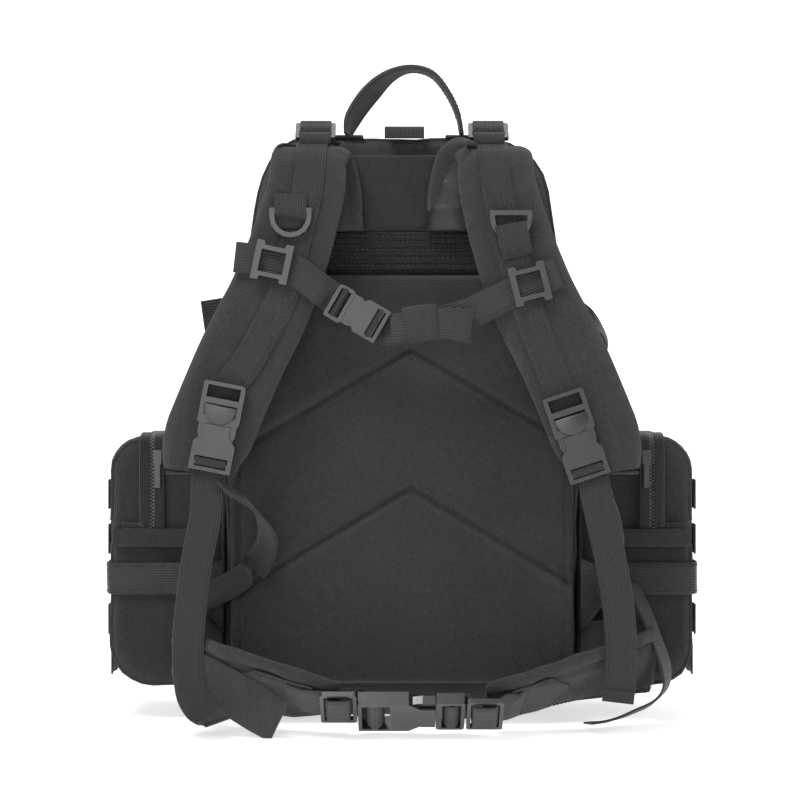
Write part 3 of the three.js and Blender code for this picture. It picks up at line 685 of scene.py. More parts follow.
rows = []
for mid, top, slope in CHANNELS:
    for offset in (-4.6, 4.6):
        xs = np.linspace(-134, 134, 90)
        zs = [top - slope * abs(x - mid) + offset * ROW_SPREAD for x in xs]
        rows.append([np.array((x, -0.6 - back_depth(x, z), z)) for x, z in zip(xs, zs)])
for side in (-1, 1):
    edge = [(side * (back_half(z) - 8), z) for z in np.linspace(72, 366, 90)]
    rows.append([np.array((x, -0.6 - back_depth(x, z), z)) for x, z in edge])
rows.append([np.array((x, -0.6 - back_depth(x, 367), 367)) for x in np.linspace(-119, 119, 80)])
wear(stitches("back_panel_stitches", rows), "pack")
print("back panel", len(back_panel.data.polygons), "faces and", len(rows), "rows of stitches")

# %% Mesh band and upper panel


def band_depth(x, z):
    sag = 0.5 * math.sin(x * 0.02) + noise.noise(Vector((x * 0.03, 5, z * 0.05))) * 0.8
    quilt = 1.3 * sum(valley(z - row, 1.2) for row in YOKE_ROWS)
    return max((4.6 + sag - quilt) * edge_round(min(narrowed(140, z) - abs(x), z - 376, 410 - z), 3), 0.3)


YOKE_ROWS = (382, 388.5, 395, 401.5, 406)
yoke = padded_panel("yoke_mesh", lambda z: narrowed(140, z), (376.5, 409.5), -0.4, band_depth, MESH_CLOTH,
                    100, 40)
wear(yoke, "pack", ["yoke_band"])
rows = [[np.array((x, -1.0 - band_depth(x, z), z)) for x in np.linspace(-119, 119, 80)] for z in YOKE_ROWS]
wear(stitches("yoke_stitches", rows, pitch=4.2, length=3), "pack")


def upper_half(z):
    return narrowed(134 if z < 426 else 86 + math.sqrt(max(48**2 - (z - 426) ** 2, 0)), z)


def upper_depth(x, z):
    soft = (noise.noise(Vector((x * 0.02, 1, z * 0.03))) * 2.2
            + abs(noise.noise(Vector((x * 0.05, 2, z * 0.02)))) * 2)
    return max((4.2 + soft) * edge_round(min(upper_half(z) - abs(x), z - 411, 474.5 - z), 4), 0.3)


upper = padded_panel("upper_panel", upper_half, (411, 474), -0.4, upper_depth, PACK_CLOTH, 90, 36)
wear(upper, "pack", ["upper_back_panel"])

# %% Inner sleeve and frame sheet
sleeve = padded_panel("sleeve_front", lambda z: 112, (44, 330), 14.4, lambda x, z: 1.1, LINING, 24, 24)
wear(sleeve, "pack", ["inner_sleeve"])
SLEEVE_EDGE = [(-112, 12, 329), (-112, 12, 46), (112, 12, 46), (112, 12, 329)]
for n, (a, b) in enumerate(zip(SLEEVE_EDGE, SLEEVE_EDGE[1:])):
    gusset = swept(f"sleeve_gusset_{n}", Path([a, b], across=BACKWARDS, steps=10), 7, 1.2, LINING)
    wear(gusset, "pack")
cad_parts["frame_sheet"].data.materials[0] = SHEET

# %% [markdown]
# ## Pouches
# A pouch rides on each side of the pack. Its outer top quarter folds out: a zip runs up the front, over the
# top and down the back, and a hem marks the fold. Rows of webbing on its outer face hold small gear, and
# one wide band pulls the pouch in. The pouch and its flap are one skin, cut along the zip, like the main
# pack.
# %% Side pouches
POUCH_ZIP_X, POUCH_FOLD_Z = 211, 157
POUCH_STATIONS = [(22, 9, 9, 9), (25, 3, 3, 3), (32, 0, 0, 0), (140, 0, 0, 0), (147, 3, 3, 3), (150, 9, 9, 9)]
ZIP_STOPS = [(243, 20.2, 157, 0, 0, 1), (216, 19.7, 157, 0, 0, 1), (211.6, 19.7, 160, 1, 0, 1),
             (211, 19.7, 166, 1, 0, 0), (211, 19.7, 200, 1, 0, 0), (211, 20.7, 234, 1, 0, 0),
             (211, 30, 240.4, 1, 0, 0), (211, 86, 240.8, 1, 0, 0), (211, 142, 240.4, 1, 0, 0),
             (211, 150, 234, 1, 0, 0), (211, 150.5, 200, 1, 0, 0), (211, 150.5, 166, 1, 0, 0),
             (211.6, 150.5, 160, 1, 0, 1), (216, 150.5, 157, 0, 0, 1), (243, 150, 157, 0, 0, 1)]


def side_box(sign, x0, x1):
    return (x0, x1) if sign > 0 else (-x1, -x0)


def in_flap(x, z, sign, gap):
    return sign * x > POUCH_ZIP_X + gap and z > POUCH_FOLD_Z + gap


for side, sign in SIDES:
    radii = (34, 28, 12, 14) if sign > 0 else (14, 12, 28, 34)
    pouch = Bag(side_box(sign, 148.5, 247), (28, 240), radii, POUCH_STATIONS, bulge=1.8, crease=1.6, soft=25,
                cap_out=(1.5, 2.5), seed=2 + sign)
    cuts = [((sign * (POUCH_ZIP_X + g), 0, 0), (1, 0, 0)) for g in (-CUT, CUT)]
    cuts += [((0, 0, POUCH_FOLD_Z + g), UPWARDS) for g in (-CUT, CUT)]
    body = pouch.skin(f"{side}_pouch_skin", PACK_CLOTH, 7,
                      lambda x, y, z, sign=sign: not in_flap(x, z, sign, -CUT), cuts)
    wear(body, "pack", [f"{side}_side_pouch"])
    flap = pouch.skin(f"{side}_pouch_flap_skin", PACK_CLOTH, 7,
                      lambda x, y, z, sign=sign: in_flap(x, z, sign, CUT), cuts)
    wear(flap, f"{side}_pouch_flap", [f"{side}_pouch_flap"])
    zip_path = Path(mirrored(ZIP_STOPS, sign), steps=150)
    for part, offset, rider in (("inner", -6, "pack"), ("outer", 6, f"{side}_pouch_flap")):
        line = zip_path.row(sign * offset, 0, 6, zip_path.length - 6, 3)
        stops = [(*p, *zip_path.frame(6 + 3 * i)[1]) for i, p in enumerate(line)]
        tape = swept(f"{side}_pouch_zip_tape_{part}", Path(stops, steps=len(stops)), 9, 1.2, ZIP_TAPE)
        wear(tape, rider)
    teeth = zip_teeth(f"{side}_pouch_zip_teeth", zip_path, -sign * 0.8)
    wear(teeth, "pack")
    hem = Path([(sign * x, y, 154) for x, y in ((244, 19.6), (232, 18.2), (205, 17.4), (172, 17.4))], UPWARDS,
               40)
    wear(swept(f"{side}_pouch_hem", hem, 15, 1.6, PACK_CLOTH), "pack")
    hem_rows = [hem.row(5.5, -sign * 1.0, 3, hem.length - 2, 2)]
    wear(stitches(f"{side}_pouch_hem_stitches", hem_rows, pitch=2.6), "pack")
    for n, y in enumerate((26, 146)):
        edge = pouch.line(y, 0.8)
        rim = swept(f"{side}_pouch_piping_{n}",
                    line_path([p for p in edge if not in_flap(p[0], p[2], sign, -2)]),
                    3, 3, PIPING, TUBE_SECTION)
        wear(rim, "pack")
        rim = swept(f"{side}_pouch_flap_piping_{n}",
                    line_path([p for p in edge if in_flap(p[0], p[2], sign, 2)]),
                    3, 3, PIPING, TUBE_SECTION)
        wear(rim, f"{side}_pouch_flap")

# %% Bands round the pouches
BAND_Z = 119.5
BAND = [(150, 12), (164, 17.6), (186, 19.6), (234, 19.6), (245.5, 23), (249.2, 30.6), (250.2, 46),
        (250.2, 126), (249.2, 141.4), (245.5, 149), (234, 152.4), (186, 152.4), (164, 153), (150, 154.8)]
for side, sign in SIDES:
    path = Path([(sign * x, y, BAND_Z) for x, y in BAND], across=UPWARDS, steps=120)
    band = swept(f"{side}_lower_band", path, 27, 2.0, WEBBING, ruffle=0.8)
    wear(band, "pack", [f"{side}_lower_strap"])
    rows = [path.row(offset, -sign * 1.3, 30, path.length - 30) for offset in (-11, 11)]
    wear(stitches(f"{side}_lower_band_stitches", rows, pitch=4), "pack")

    # Rows of webbing on the outer face, sewn down at every 38 mm so that they stand up in small bridges.
    for n, z in enumerate((50, 84, 152, 190)):
        rider = "pack" if z < POUCH_FOLD_Z else f"{side}_pouch_flap"
        stops = [(sign * (248.2 + 1.6 * abs(math.sin(math.pi * (y - 30) / 28))), y, z)
                 for y in range(30, 143, 4)]
        if z < 60:
            stops = [(sign * (abs(x) - 2.5), y, z) for x, y, z in stops]
        row = swept(f"{side}_gear_row_{n}", Path(stops, across=UPWARDS, steps=60), 25, 1.8, WEBBING)
        wear(row, rider)

# %% Fold cloths
# A strip of cloth joins each flap to its bag at the fold.
for side, sign in SIDES:
    fold = swept(f"{side}_pouch_fold", Path([(sign * 247.2, y, POUCH_FOLD_Z) for y in range(34, 139, 8)],
                                            across=UPWARDS, steps=30), 12, 1.6, PACK_CLOTH)
    bend(fold, "pack", f"{side}_pouch_flap", (sign * 247, 86, 154), (sign * 247, 86, 160), "pack_cloth")

# %% [markdown]
# ## Front pouch and pocket
# The side away from the wearer has a low pouch with a drop-down lid and a flat padded pocket above it, with
# rows of webbing. The low pouch follows the same plan as the side ones: one skin, cut where the lid's zip
# runs.
# %% Front pouch
FRONT_Y = 155.4  # the flap's outer face
LID_Y, LID_Z = 196, 96
low = Bag((-108, 108), (16, 182), (26, 30, 30, 26),
          [(FRONT_Y, 0, 0, 0), (217.4, 0, 0, 0), (224.4, 3, 3, 3), (227.4, 9, 9, 9)],
          bulge=2.5, crease=2, soft=25, cap_out=(0, 3), seed=5)
cuts = ([((0, LID_Y + g, 0), BACKWARDS) for g in (-CUT, CUT)]
        + [((0, 0, LID_Z + g), UPWARDS) for g in (-CUT, CUT)])
wear(low.skin("front_pouch_skin", PACK_CLOTH, 7, lambda x, y, z: y < LID_Y - CUT or z < LID_Z - CUT, cuts),
     "pack", ["front_pouch"])
wear(low.skin("front_pouch_lid_skin", PACK_CLOTH, 7, lambda x, y, z: y > LID_Y + CUT and z > LID_Z + CUT,
              cuts),
     "front_pouch_lid", ["front_pouch_flap"])


def upper_run(bag, y, floor, out):
    """The part of the bag's line above floor, in order from one side over the top to the other."""
    line = [p for p in bag.line(y, out) if p[2] > floor]
    first = max(range(len(line)), key=lambda i: np.linalg.norm(line[i] - line[i - 1]))
    return line[first:] + line[:first]


lid_line = [(*p, *BACKWARDS) for p in upper_run(low, LID_Y, LID_Z + 3, 0.3)]
lid_zip = Path(lid_line, steps=len(lid_line) * 2)
wear(zip_teeth("front_pouch_teeth", lid_zip, 0.9), "pack")
for part, offset, rider in (("rear", -6.5, "pack"), ("front", 6.5, "front_pouch_lid")):
    stops = [(p[0], p[1] + offset, *p[2:]) for p in lid_line]
    wear(swept(f"front_pouch_zip_{part}", Path(stops, steps=len(stops) * 2), 9, 1.2, FINE_WEBBING), rider)
for name, rider, keep in (("front_pouch_piping_low", "pack", lambda z: z < LID_Z - 3),
                          ("front_pouch_piping_lid", "front_pouch_lid", lambda z: z > LID_Z + 3)):
    line = low.line(222, 1)
    start = next(i for i, p in enumerate(line) if not keep(p[2]))
    line = [p for p in line[start:] + line[:start] if keep(p[2])]
    wear(cord_along(name, line, 3, PIPING), rider)
fold = swept("front_pouch_fold",
             Path([(x, 227.6, LID_Z) for x in range(-96, 97, 8)], across=UPWARDS, steps=40),
             12, 1.6, PACK_CLOTH)
bend(fold, "pack", "front_pouch_lid", (0, 227, LID_Z - 3), (0, 227, LID_Z + 3), "pack_cloth")
fold = swept("front_flap_fold",
             Path([(x, 155.2, FOLD_Z) for x in range(-128, 129, 8)], across=UPWARDS, steps=50),
             12, 1.6, PACK_CLOTH)
bend(fold, "pack", "front_flap", (0, 155, FOLD_Z - 3), (0, 155, FOLD_Z + 3), "pack_cloth")

# %% Front pocket
pocket = Bag((-100, 100), (292, 440), (18, 30, 30, 18),
             [(FRONT_Y, 0, 0, 0), (181.4, 0, 0, 0), (186, 2, 2, 2), (189.4, 8, 8, 8)],
             bulge=3, crease=2, soft=22, cap_out=(0, 6), seed=8)
skin = pocket.skin("front_pocket_skin", PACK_CLOTH, 6)
wear(skin, "front_flap", ["front_pocket"])
wear(cord_along("front_pocket_piping", [*pocket.line(185, 0.8), pocket.line(185, 0.8)[0]], 3, PIPING),
     "front_flap")
pocket_zip = Path([(*p, *BACKWARDS) for p in upper_run(pocket, 170, 340, 0.6)], steps=120)
wear(swept("front_pocket_zip_tape", pocket_zip, 16, 1.2, FINE_WEBBING), "front_flap")
wear(zip_teeth("front_pocket_teeth", pocket_zip, 1.2), "front_flap")


def gear_row(name, x_range, y_of, z, rider):
    xs = np.arange(x_range[0], x_range[1] + 1, 4)
    stops = [(x, y_of(x) + 1.6 * abs(math.sin(math.pi * (x - x_range[0]) / 38)), z) for x in xs]
    wear(swept(name, Path(stops, across=UPWARDS, steps=90), 25, 1.8, WEBBING), rider)


for n, z in enumerate((322, 360, 398)):
    gear_row(f"pocket_gear_row_{n}", (-86, 86), lambda x: 192.5 + 4 * (1 - (x / 100) ** 2), z, "front_flap")
for n, z in enumerate((40, 70)):
    gear_row(f"pouch_gear_row_{n}", (-88, 88), lambda x: 228.5 + 2 * (1 - (x / 108) ** 2), z, "pack")
for n, z in enumerate((124, 156)):
    gear_row(f"lid_gear_row_{n}", (-88, 88), lambda x: 228.5 + 2 * (1 - (x / 108) ** 2), z, "front_pouch_lid")
for n, z in enumerate((222, 260)):
    gear_row(f"flap_gear_row_{n}", (-124, 124), lambda x: 158.5 + 3 * (1 - (x / 147) ** 2), z, "front_flap")

# %% [markdown]
# ## Haul handle and top tab
# The haul handle is doubled webbing, sewn into the top seam at both feet and bowed up so that a hand goes
# under it.
# %% Haul handle
HANDLE_STOPS = [(-46, 10, 491.5, 0.1, 1, 0), (-41, 10, 506, 0.5, 1, 0), (-27, 10, 526, 0.7, 1, 0),
                (-9, 10, 542, 0.4, 1, 0), (8, 10, 547.5, 0.1, 1, 0), (25, 10, 543, 0, 1, 0),
                (39, 10, 526, 0, 1, 0), (47, 10, 508, 0, 1, 0), (50, 10, 491.5, 0, 1, 0)]
handle_path = Path(HANDLE_STOPS, steps=80)
handle = swept("haul_handle_strap", handle_path, 26, 3.2, WEBBING)
bend(handle, "pack", "haul_handle", (0, 10, 493), (0, 10, 502), "webbing", ["haul_handle"])
rows = [handle_path.row(offset, out, 14, handle_path.length - 14) for offset in (-10, 10)
        for out in (-1.8, 1.8)]
wear(stitches("haul_handle_stitches", rows, pitch=3.6), "haul_handle")
for n, x in enumerate((-46, 50)):
    foot = swept(f"haul_handle_foot_{n}",
                 Path([(x, 2, 489.6), (x, 10, 491), (x, 22, 491.4), (x, 40, 491.6)], steps=16),
                 27, 2.4, WEBBING)
    wear(foot, "pack")
tab_path = Path([(2, 14, 491.6), (2, 6, 495), (2, -2, 496.6), (2, -8, 493.5), (2, -9, 487)], steps=24)
wear(swept("top_tab_strap", tab_path, 33, 2.4, WEBBING), "pack", ["top_tab"])

# %% [markdown]
# ## Shoulder straps
# Each strap is one long foam pad in a cloth sleeve. It leaves the top of the back panel, rolls over towards
# the wearer and runs down and outwards. It is thickest in the middle, its seams lie in shallow grooves, and
# gathered cloth covers its inner leg. The roll is where the harness bends.
# %% Sections for padding


BACK_SHARE = 0.42  # how far a pad swells behind, for the 0.5 in front


def puffed(count=22, seams=(-0.41, 0.41), depth=0.13, power=4):
    """A padded cross-section: crowned on its face, with a groove at each seam, and flatter behind."""
    us = [math.sin(math.pi * (k / count - 0.5)) * 0.5 for k in range(count + 1)]
    crown = lambda u: (1 - abs(2 * u) ** power) ** 0.5
    face = [(u, 0.5 * crown(u) - sum(depth * valley(u - s, 0.035) for s in seams)) for u in us]
    return face + [(u, -BACK_SHARE * crown(u)) for u in reversed(us[1:-1])]


ROLL_Y, ROLL_Z, ROLL_R = -26, 457, 14.5
ROOT_X = {"left": 64, "right": 52}
PAD_LINE = [(77, 447), (82, 425), (92, 391), (107, 351), (131, 302), (152, 252), (161, 228), (163.5, 211)]


def on_roll(x, degrees, radius=ROLL_R):
    a = math.radians(degrees)
    return (x, ROLL_Y + radius * math.cos(a), ROLL_Z + radius * math.sin(a))


def pad_y(z):
    return -40.5 + (ROLL_Z - z) * -11.5 / 243


PAD_SECTION = puffed(seams=(-0.45, 0.45), depth=0.03, power=7)


def pad_width(share):
    return 62 + 10 * min(1, max(0, share - 0.25) * 2.6) - 15 * (max(0, share - 0.9) / 0.1) ** 1.6


PAD_PATHS = {}
for side, sign in SIDES:
    x = ROOT_X[side]
    stops = [(x, -11.5, 413), (x, -11.5, 436), on_roll(x + 4, 0), on_roll(x + 7, 32), on_roll(x + 12, 62),
             on_roll(73, 90), on_roll(74.5, 120), on_roll(76, 150)] + [(a, pad_y(b), b) for a, b in PAD_LINE]
    path = PAD_PATHS[side] = Path(mirrored(stops, sign), across=LEFTWARDS, steps=150)
    pad = swept(f"{side}_shoulder_strap", path, pad_width, 13, PAD_CLOTH, PAD_SECTION, ruffle=1.6)
    bend(pad, "pack", "harness", (0, -20, ROLL_Z), (0, -32, ROLL_Z), "pad_cloth",
         [f"{side}_shoulder_pad", f"{side}_shoulder_root"], fill=0.6)
    foot = swept(f"{side}_shoulder_binding_end", Path([path.frame(path.length - 0.5)[0] + np.array((u, 0, 0))
                 for u in np.linspace(-27, 27, 9)], across=BACKWARDS, steps=20), 12.5, 3, PIPING,
                 TUBE_SECTION)
    wear(foot, "harness")
    leg_stops = [(x, -11.5, 410), (x, -11.5, 436), on_roll(x + 4, 0), on_roll(x + 7, 32), on_roll(x + 11, 55)]
    leg = swept(f"{side}_gathered_leg", Path(mirrored(leg_stops, sign), across=LEFTWARDS, steps=90),
                lambda t: 68 - 22 * t, 16, RUCHED, puffed(seams=(), power=3), ruffle=4)
    bend(leg, "pack", "harness", (0, -20, ROLL_Z), (0, -32, ROLL_Z), "pad_cloth")
print("shoulder strap", round(PAD_PATHS["left"].length), "mm long")

# %% Centre webbing
# A strip of webbing is sewn down the middle of each pad, with rows of cross stitches where it carries load.
WEB_LIFT = 7.5
CENTRE = {
    "left": [(77, 440), (88, 391), (98, 351), (113, 322), (127, 297), (137, 284.5), (140.5, 276)],
    "right": [(77, 440), (88, 391), (99, 351), (109, 322), (119, 297), (125, 281), (129, 270)],
}
CENTRE_PATHS = {}
for side, sign in SIDES:
    over = [(71, -30.2, 483.4), on_roll(72, 80, 24), on_roll(73, 102, 23),
            on_roll(74, 122, ROLL_R + WEB_LIFT),
            on_roll(74, 150, ROLL_R + WEB_LIFT)]
    down = [(x, pad_y(z) - WEB_LIFT, z) for x, z in CENTRE[side]]
    path = CENTRE_PATHS[side] = Path(mirrored(over + down, sign), across=LEFTWARDS, steps=140)
    web = swept(f"{side}_centre_web", path, NARROW_WEB, 1.9, WEBBING, ruffle=0.5)
    bend(web, "pack", "harness", (0, -29, 480), (0, -42, 480), "webbing", [f"{side}_shoulder_web"])
    rows = [path.row(o, 1.1, 62, path.length - 22) for o in (-10, 10)]
    for start in (66, 142, 170):
        rows += [path.row(o, 1.1, start, start + 16, 4) for o in np.linspace(-8, 8, 5)]
    wear(stitches(f"{side}_centre_stitches", rows, pitch=3.2), "harness")

# %% [markdown]
# ## Load lifters
# A short strap from the top seam of the pack goes through a ladder buckle and down onto each shoulder
# strap. Pulling it tips the load closer. The buckles are moulded, so they keep their solid shape and get
# rounded edges.
# %% Load lifters


def threaded(origin, along, facing, profile):
    """Points of a web through a buckle, whose profile has distances along it and out of its middle plane."""
    return [tuple(np.array(origin) + np.array(along) * s + np.array(facing) * out) for s, out in profile]


LIFTER_THREADS = {
    "over": [(14, -2.5), (13, 1.5), (10, 3.1), (4, 3.4), (0, 3.2), (-2.2, 1.2), (-3, -2.5)],
    "under": [(-2.6, -3.2), (-4.4, 0), (-6.2, 2.8), (-10, 3.1), (-13, 1.6), (-15, -1.5)],
}
LIFTER = [(71, 34, 492.2), (71, 16, 492), (71, 4, 490.7), (71, -8, 486.3), (71, -13.5, 483.2)]
for side, sign in SIDES:
    path = Path(mirrored(LIFTER, sign), across=LEFTWARDS, steps=30)
    wear(swept(f"{side}_lifter_web", path, NARROW_WEB, 1.8, WEBBING), "pack",
         [f"{side}_lifter_strap"])
    wear(stitches(f"{side}_lifter_stitches", [path.row(o, 1.1, 3, 16, 3) for o in (-9, -3, 3, 9)]), "pack")
    for part, profile in LIFTER_THREADS.items():
        loop = Path(threaded((sign * 71, -22, 490.6), (0, 0.77, 0.64), (0, -0.64, 0.77), profile),
                    across=LEFTWARDS,
                    steps=30)
        wear(swept(f"{side}_lifter_{part}", loop, NARROW_WEB, 1.7, WEBBING), f"{side}_lifter_buckle")

# %% [markdown]
# ## Rings, tails and anchors
# A ring hangs on each strap in a stitched loop of webbing. The adjusting strap's loose end hangs from the
# release buckle almost to the floor, and a second strap runs back from the buckle to the corner of the pack.
# %% Ring loops
for side, sign in SIDES:
    x, z = (-90, 424.5) if side == "left" else (89, 402)
    lean = sign * 0.16
    y = pad_y(z) - WEB_LIFT - 1.6
    if side == "left":
        stops = [(x, -50.6, 436), (x, -53.4, 430), (x, -57.4, 425.4), (x, -58, 422), (x, -56.6, 418.6),
                 (x, -52.6, 415.5), (x, -51.2, 408)]
    else:
        stops = [(x - 1.5, y - 4.6, z + 10), (x, y - 6.4, z + 2), (x + 1.5, y - 5.2, z - 5),
                 (x + 4.5, y - 1.2, z - 16)]
    path = Path(stops, across=(-1, 0, -lean), steps=26)
    wear(swept(f"{side}_ring_loop", path, NARROW_WEB, 1.8, WEBBING), "harness")
    rows = [path.row(o, 1.2, path.length - 9, path.length - 1, 2) for o in (-9, -3, 3, 9)]
    wear(stitches(f"{side}_ring_loop_stitches", rows), "harness")

# %% Tails and anchor straps
TAILS = {
    "left": [(155.5, -61.5, 216), (156.5, -63, 206), (158, -64, 176), (165, -63, 139), (170, -61, 100),
             (172, -60, 72), (171, -61, 46), (168, -63, 32), (161, -67, 22), (153, -74, 16.5),
             (146, -81, 14.5)],
    "right": [(153.5, -61.5, 208), (155, -63.5, 197), (161, -64, 170), (168, -64.5, 138), (174, -64, 100),
              (176, -63, 66), (175, -62, 44), (173, -62.5, 27)],
}
ANCHORS = {
    "left": [(150, -58, 204, 0.3, 1, 0), (143, -56.5, 199, 0.35, 1, 0.3), (128, -52, 190, 0.4, 1, 0.5),
             (114, -45, 174, 0.5, 1, 0.3), (109.5, -37, 157, 0.8, 0.9, 0), (116, -29, 139, 0.8, 0.6, -0.4),
             (130, -20, 125, 0.6, 0.2, -0.8), (150, -9, 113, 0.5, 0, -0.86), (166, 0, 106, 0.4, 0, -0.9)],
    "right": [(156.5, -60.4, 196, 1, 0, 0), (158, -59, 189, 1, 0, 0), (165, -46, 172, 0.9, 0, 0.4),
              (172, -26, 142, 0.6, 0, 0.8), (170, -8, 120, 0.3, 0, 1), (163, 1, 111, 0, 0, 1)],
}
for side, sign in SIDES:
    path = Path(mirrored(TAILS[side], sign), across=LEFTWARDS, steps=90)
    tail = swept(f"{side}_tail", path, NARROW_WEB, 2.0, WEBBING, ruffle=0.9)
    wear(tail, f"{side}_shoulder_release", [f"{side}_strap_tail"])
    hem = [path.row(o, 1.3, path.length - 9, path.length - 2, 2) for o in np.linspace(-10, 10, 7)]
    wear(stitches(f"{side}_tail_hem", hem, pitch=2.6, length=2), f"{side}_shoulder_release")
    hem_band = Path(path.row(0, 1.6, path.length - 10, path.length - 1, 1.5), across=LEFTWARDS, steps=8)
    wear(swept(f"{side}_tail_fold", hem_band, NARROW_WEB, 1.8, WEBBING), f"{side}_shoulder_release")
    path = Path(mirrored(ANCHORS[side], sign), steps=90)
    anchor = swept(f"{side}_anchor_web", path, 25, 1.9, WEBBING, ruffle=1.0)
    bend(anchor, "pack", "harness", (sign * 160, -8, 114), (sign * 155, -58, 196), "webbing",
         [f"{side}_anchor_strap"])
    outline = [(149, 76), (172, 104), (172, 128), (149, 138)]
    points = [at(sign * x, y, z) for y in (-0.4, 2.4) for x, z in outline]
    faces = [(0, 1, 2, 3), (4, 5, 6, 7)] + [(k, (k + 1) % 4, 4 + (k + 1) % 4, 4 + k) for k in range(4)]
    wear(mesh_piece(f"{side}_anchor_tab", points, faces, PACK_CLOTH), "pack")
    frame_line = [np.array((sign * x, -0.7, z)) for x, z in [(152, 82), (169, 104), (169, 126), (152, 134)]]
    wear(stitches(f"{side}_anchor_tab_stitches", [frame_line[0:2], frame_line[1:3], frame_line[2:4]]), "pack")

# %% Webs through the shoulder buckles
BUCKLE_ENDS = {"left": ((-154.8, 212.7), (-141.7, 283.1)), "right": ((151.0, 207.0), (128.7, 274.3))}
SHOULDER_THREADS = {
    "lower": [(-5, -6.6), (0, -6), (2.4, -2.5), (4, 2.6), (7, 4.7), (10, 2.6), (11.2, -2), (13, -5)],
    "upper": [(78, -5.8), (70, -5.1), (58, -5), (46, -5.2)],
}
for side, sign in SIDES:
    (x0, z0), (x1, z1) = BUCKLE_ENDS[side]
    length = math.hypot(x1 - x0, z1 - z0)
    along_buckle = np.array(((x1 - x0) / length, 0, (z1 - z0) / length))
    beside = np.array((-along_buckle[2], 0, along_buckle[0]))
    for part, profile in SHOULDER_THREADS.items():
        web = Path(threaded((x0, -63.5, z0), along_buckle, (0, -1, 0), profile), across=tuple(beside),
                   steps=40)
        body = "harness" if part == "upper" else f"{side}_shoulder_release"
        wear(swept(f"{side}_buckle_web_{part}", web, 25.2, 1.7, WEBBING), body)
    edge = [(13.4 * math.cos(a), length - 18 - 15.5 * math.sin(a) ** 0.8)
            for a in np.linspace(0, math.pi, 25)]
    corners = [np.array((x0, -63.5, z0)) + beside * u + along_buckle * v for u, v in edge]
    points = [at(*(c + np.array((0, -out, 0)))) for out in (3.4, 6.2) for c in corners]
    count = len(corners)
    sides = [(k, (k + 1) % count, count + (k + 1) % count, count + k) for k in range(count)]
    tab = mesh_piece(f"{side}_thumb_tab", points,
                     [tuple(range(count)), tuple(range(2 * count - 1, count - 1, -1))] + sides,
                     BUCKLE)
    rounding = tab.modifiers.new("rounded", "BEVEL")
    rounding.width = 0.001
    rounding.segments = 3
    wear(tab, "harness")

# %% Upper compression straps
UPPER = {
    "left": ([(136.9, 120, 346, -0.12, 0, 1), (137.1, 60, 346, -0.12, 0, 1), (139, 24, 345, -0.1, 0, 1),
              (149, 6, 343, -0.1, 0, 1), (166, 0, 340, -0.3, 0, 1)], 25),
    "right": ([(136.7, 120, 348, -0.12, 0, 1), (136.9, 60, 348, -0.12, 0, 1), (139.5, 26, 347, -0.1, 0.1, 1),
               (153, 8, 339, 0.5, 0.5, 0.7), (168, 4, 325, 0.3, 0.95, 0), (171, 5, 312, 0.1, 1, 0),
               (165, 7, 304, -0.1, 1, 0), (157, 9, 309, -0.2, 1, 0)], 20),
}
for side, sign in SIDES:
    stops, width = UPPER[side]
    path = Path(mirrored([(x + 2.5 * (x < 141), *rest) for x, *rest in stops], sign), steps=60)
    wear(swept(f"{side}_upper_band", path, width, 1.9, WEBBING, ruffle=0.8), "pack",
         [f"{side}_upper_strap"])
    ends = [path.row(o, s * 1.2, 2, 12, 2) for o in (-8, -3, 3, 8) for s in (-1, 1)]
    wear(stitches(f"{side}_upper_band_stitches", ends), "pack")

# %% [markdown]
# ## Chest strap
# Two height sliders clip over the centre webbing and carry the chest strap. Its left end is short and sewn
# fast in the buckle. The right end adjusts: it is doubled back on itself, and an elastic keeper holds the
# folded tail.
# %% Chest strap
CHEST_LEFT = [(-135, -53.6, 385.5), (-118, -54, 383.5), (-100, -54.6, 380), (-87, -55.2, 374.5),
              (-79, -56.8, 369.5), (-66, -58.4, 359.5), (-57.5, -56, 353.5, 0.4, 0, 0.9),
              (-54.4, -56.4, 351, 0.5, 0, 0.87), (-51.6, -60.5, 349.3, 0.5, 0, 0.87),
              (-50, -63, 348.3, 0.5, 0, 0.87), (-48.6, -60.5, 347.4, 0.5, 0, 0.87),
              (-46.4, -55, 346, 0.5, 0, 0.87)]
CHEST_RIGHT = [(-26.5, -55, 334.3, 0.5, 0, 0.87), (-24, -60.5, 332.8, 0.5, 0, 0.87),
               (-22, -63.4, 331.6, 0.5, 0, 0.87), (-20, -60.5, 330.4, 0.5, 0, 0.87),
               (-17, -55.6, 328.8, 0.5, 0, 0.87), (-12, -56.6, 326.6, 0.4, 0, 0.92),
               (-3, -59.4, 326, 0.2, 0, 1), (10, -59.4, 329, 0.06, 0, 1), (30, -59.2, 333),
               (50, -58.4, 338), (70, -56.8, 347), (86, -55.3, 355), (103, -54.9, 363), (127, -54.6, 372.5)]
chest_left = Path(CHEST_LEFT, across=UPWARDS, steps=150)
wear(swept("left_chest_webbing", chest_left, 25, 1.7, WEBBING, ruffle=0.4), "chest_strap",
     ["left_chest_web"])
chest_right = Path(CHEST_RIGHT, across=UPWARDS, steps=200)
chest_web = swept("right_chest_webbing", chest_right, 25, 1.7, WEBBING, ruffle=0.5)
bend(chest_web, "chest_strap", "chest_female", (50, -58, 338), (4, -59, 328), "webbing", ["right_chest_web"])
doubled = Path([(-9, -60.8, 327, 0.2, 0, 1), (0, -61.6, 328, 0.1, 0, 1), (12, -61.8, 330), (26, -62.0, 332)],
               across=UPWARDS, steps=30)
fold = swept("chest_doubled_web", doubled, 24, 1.7, WEBBING)
bend(fold, "chest_strap", "chest_female", (50, -58, 338), (4, -59, 328), "webbing")
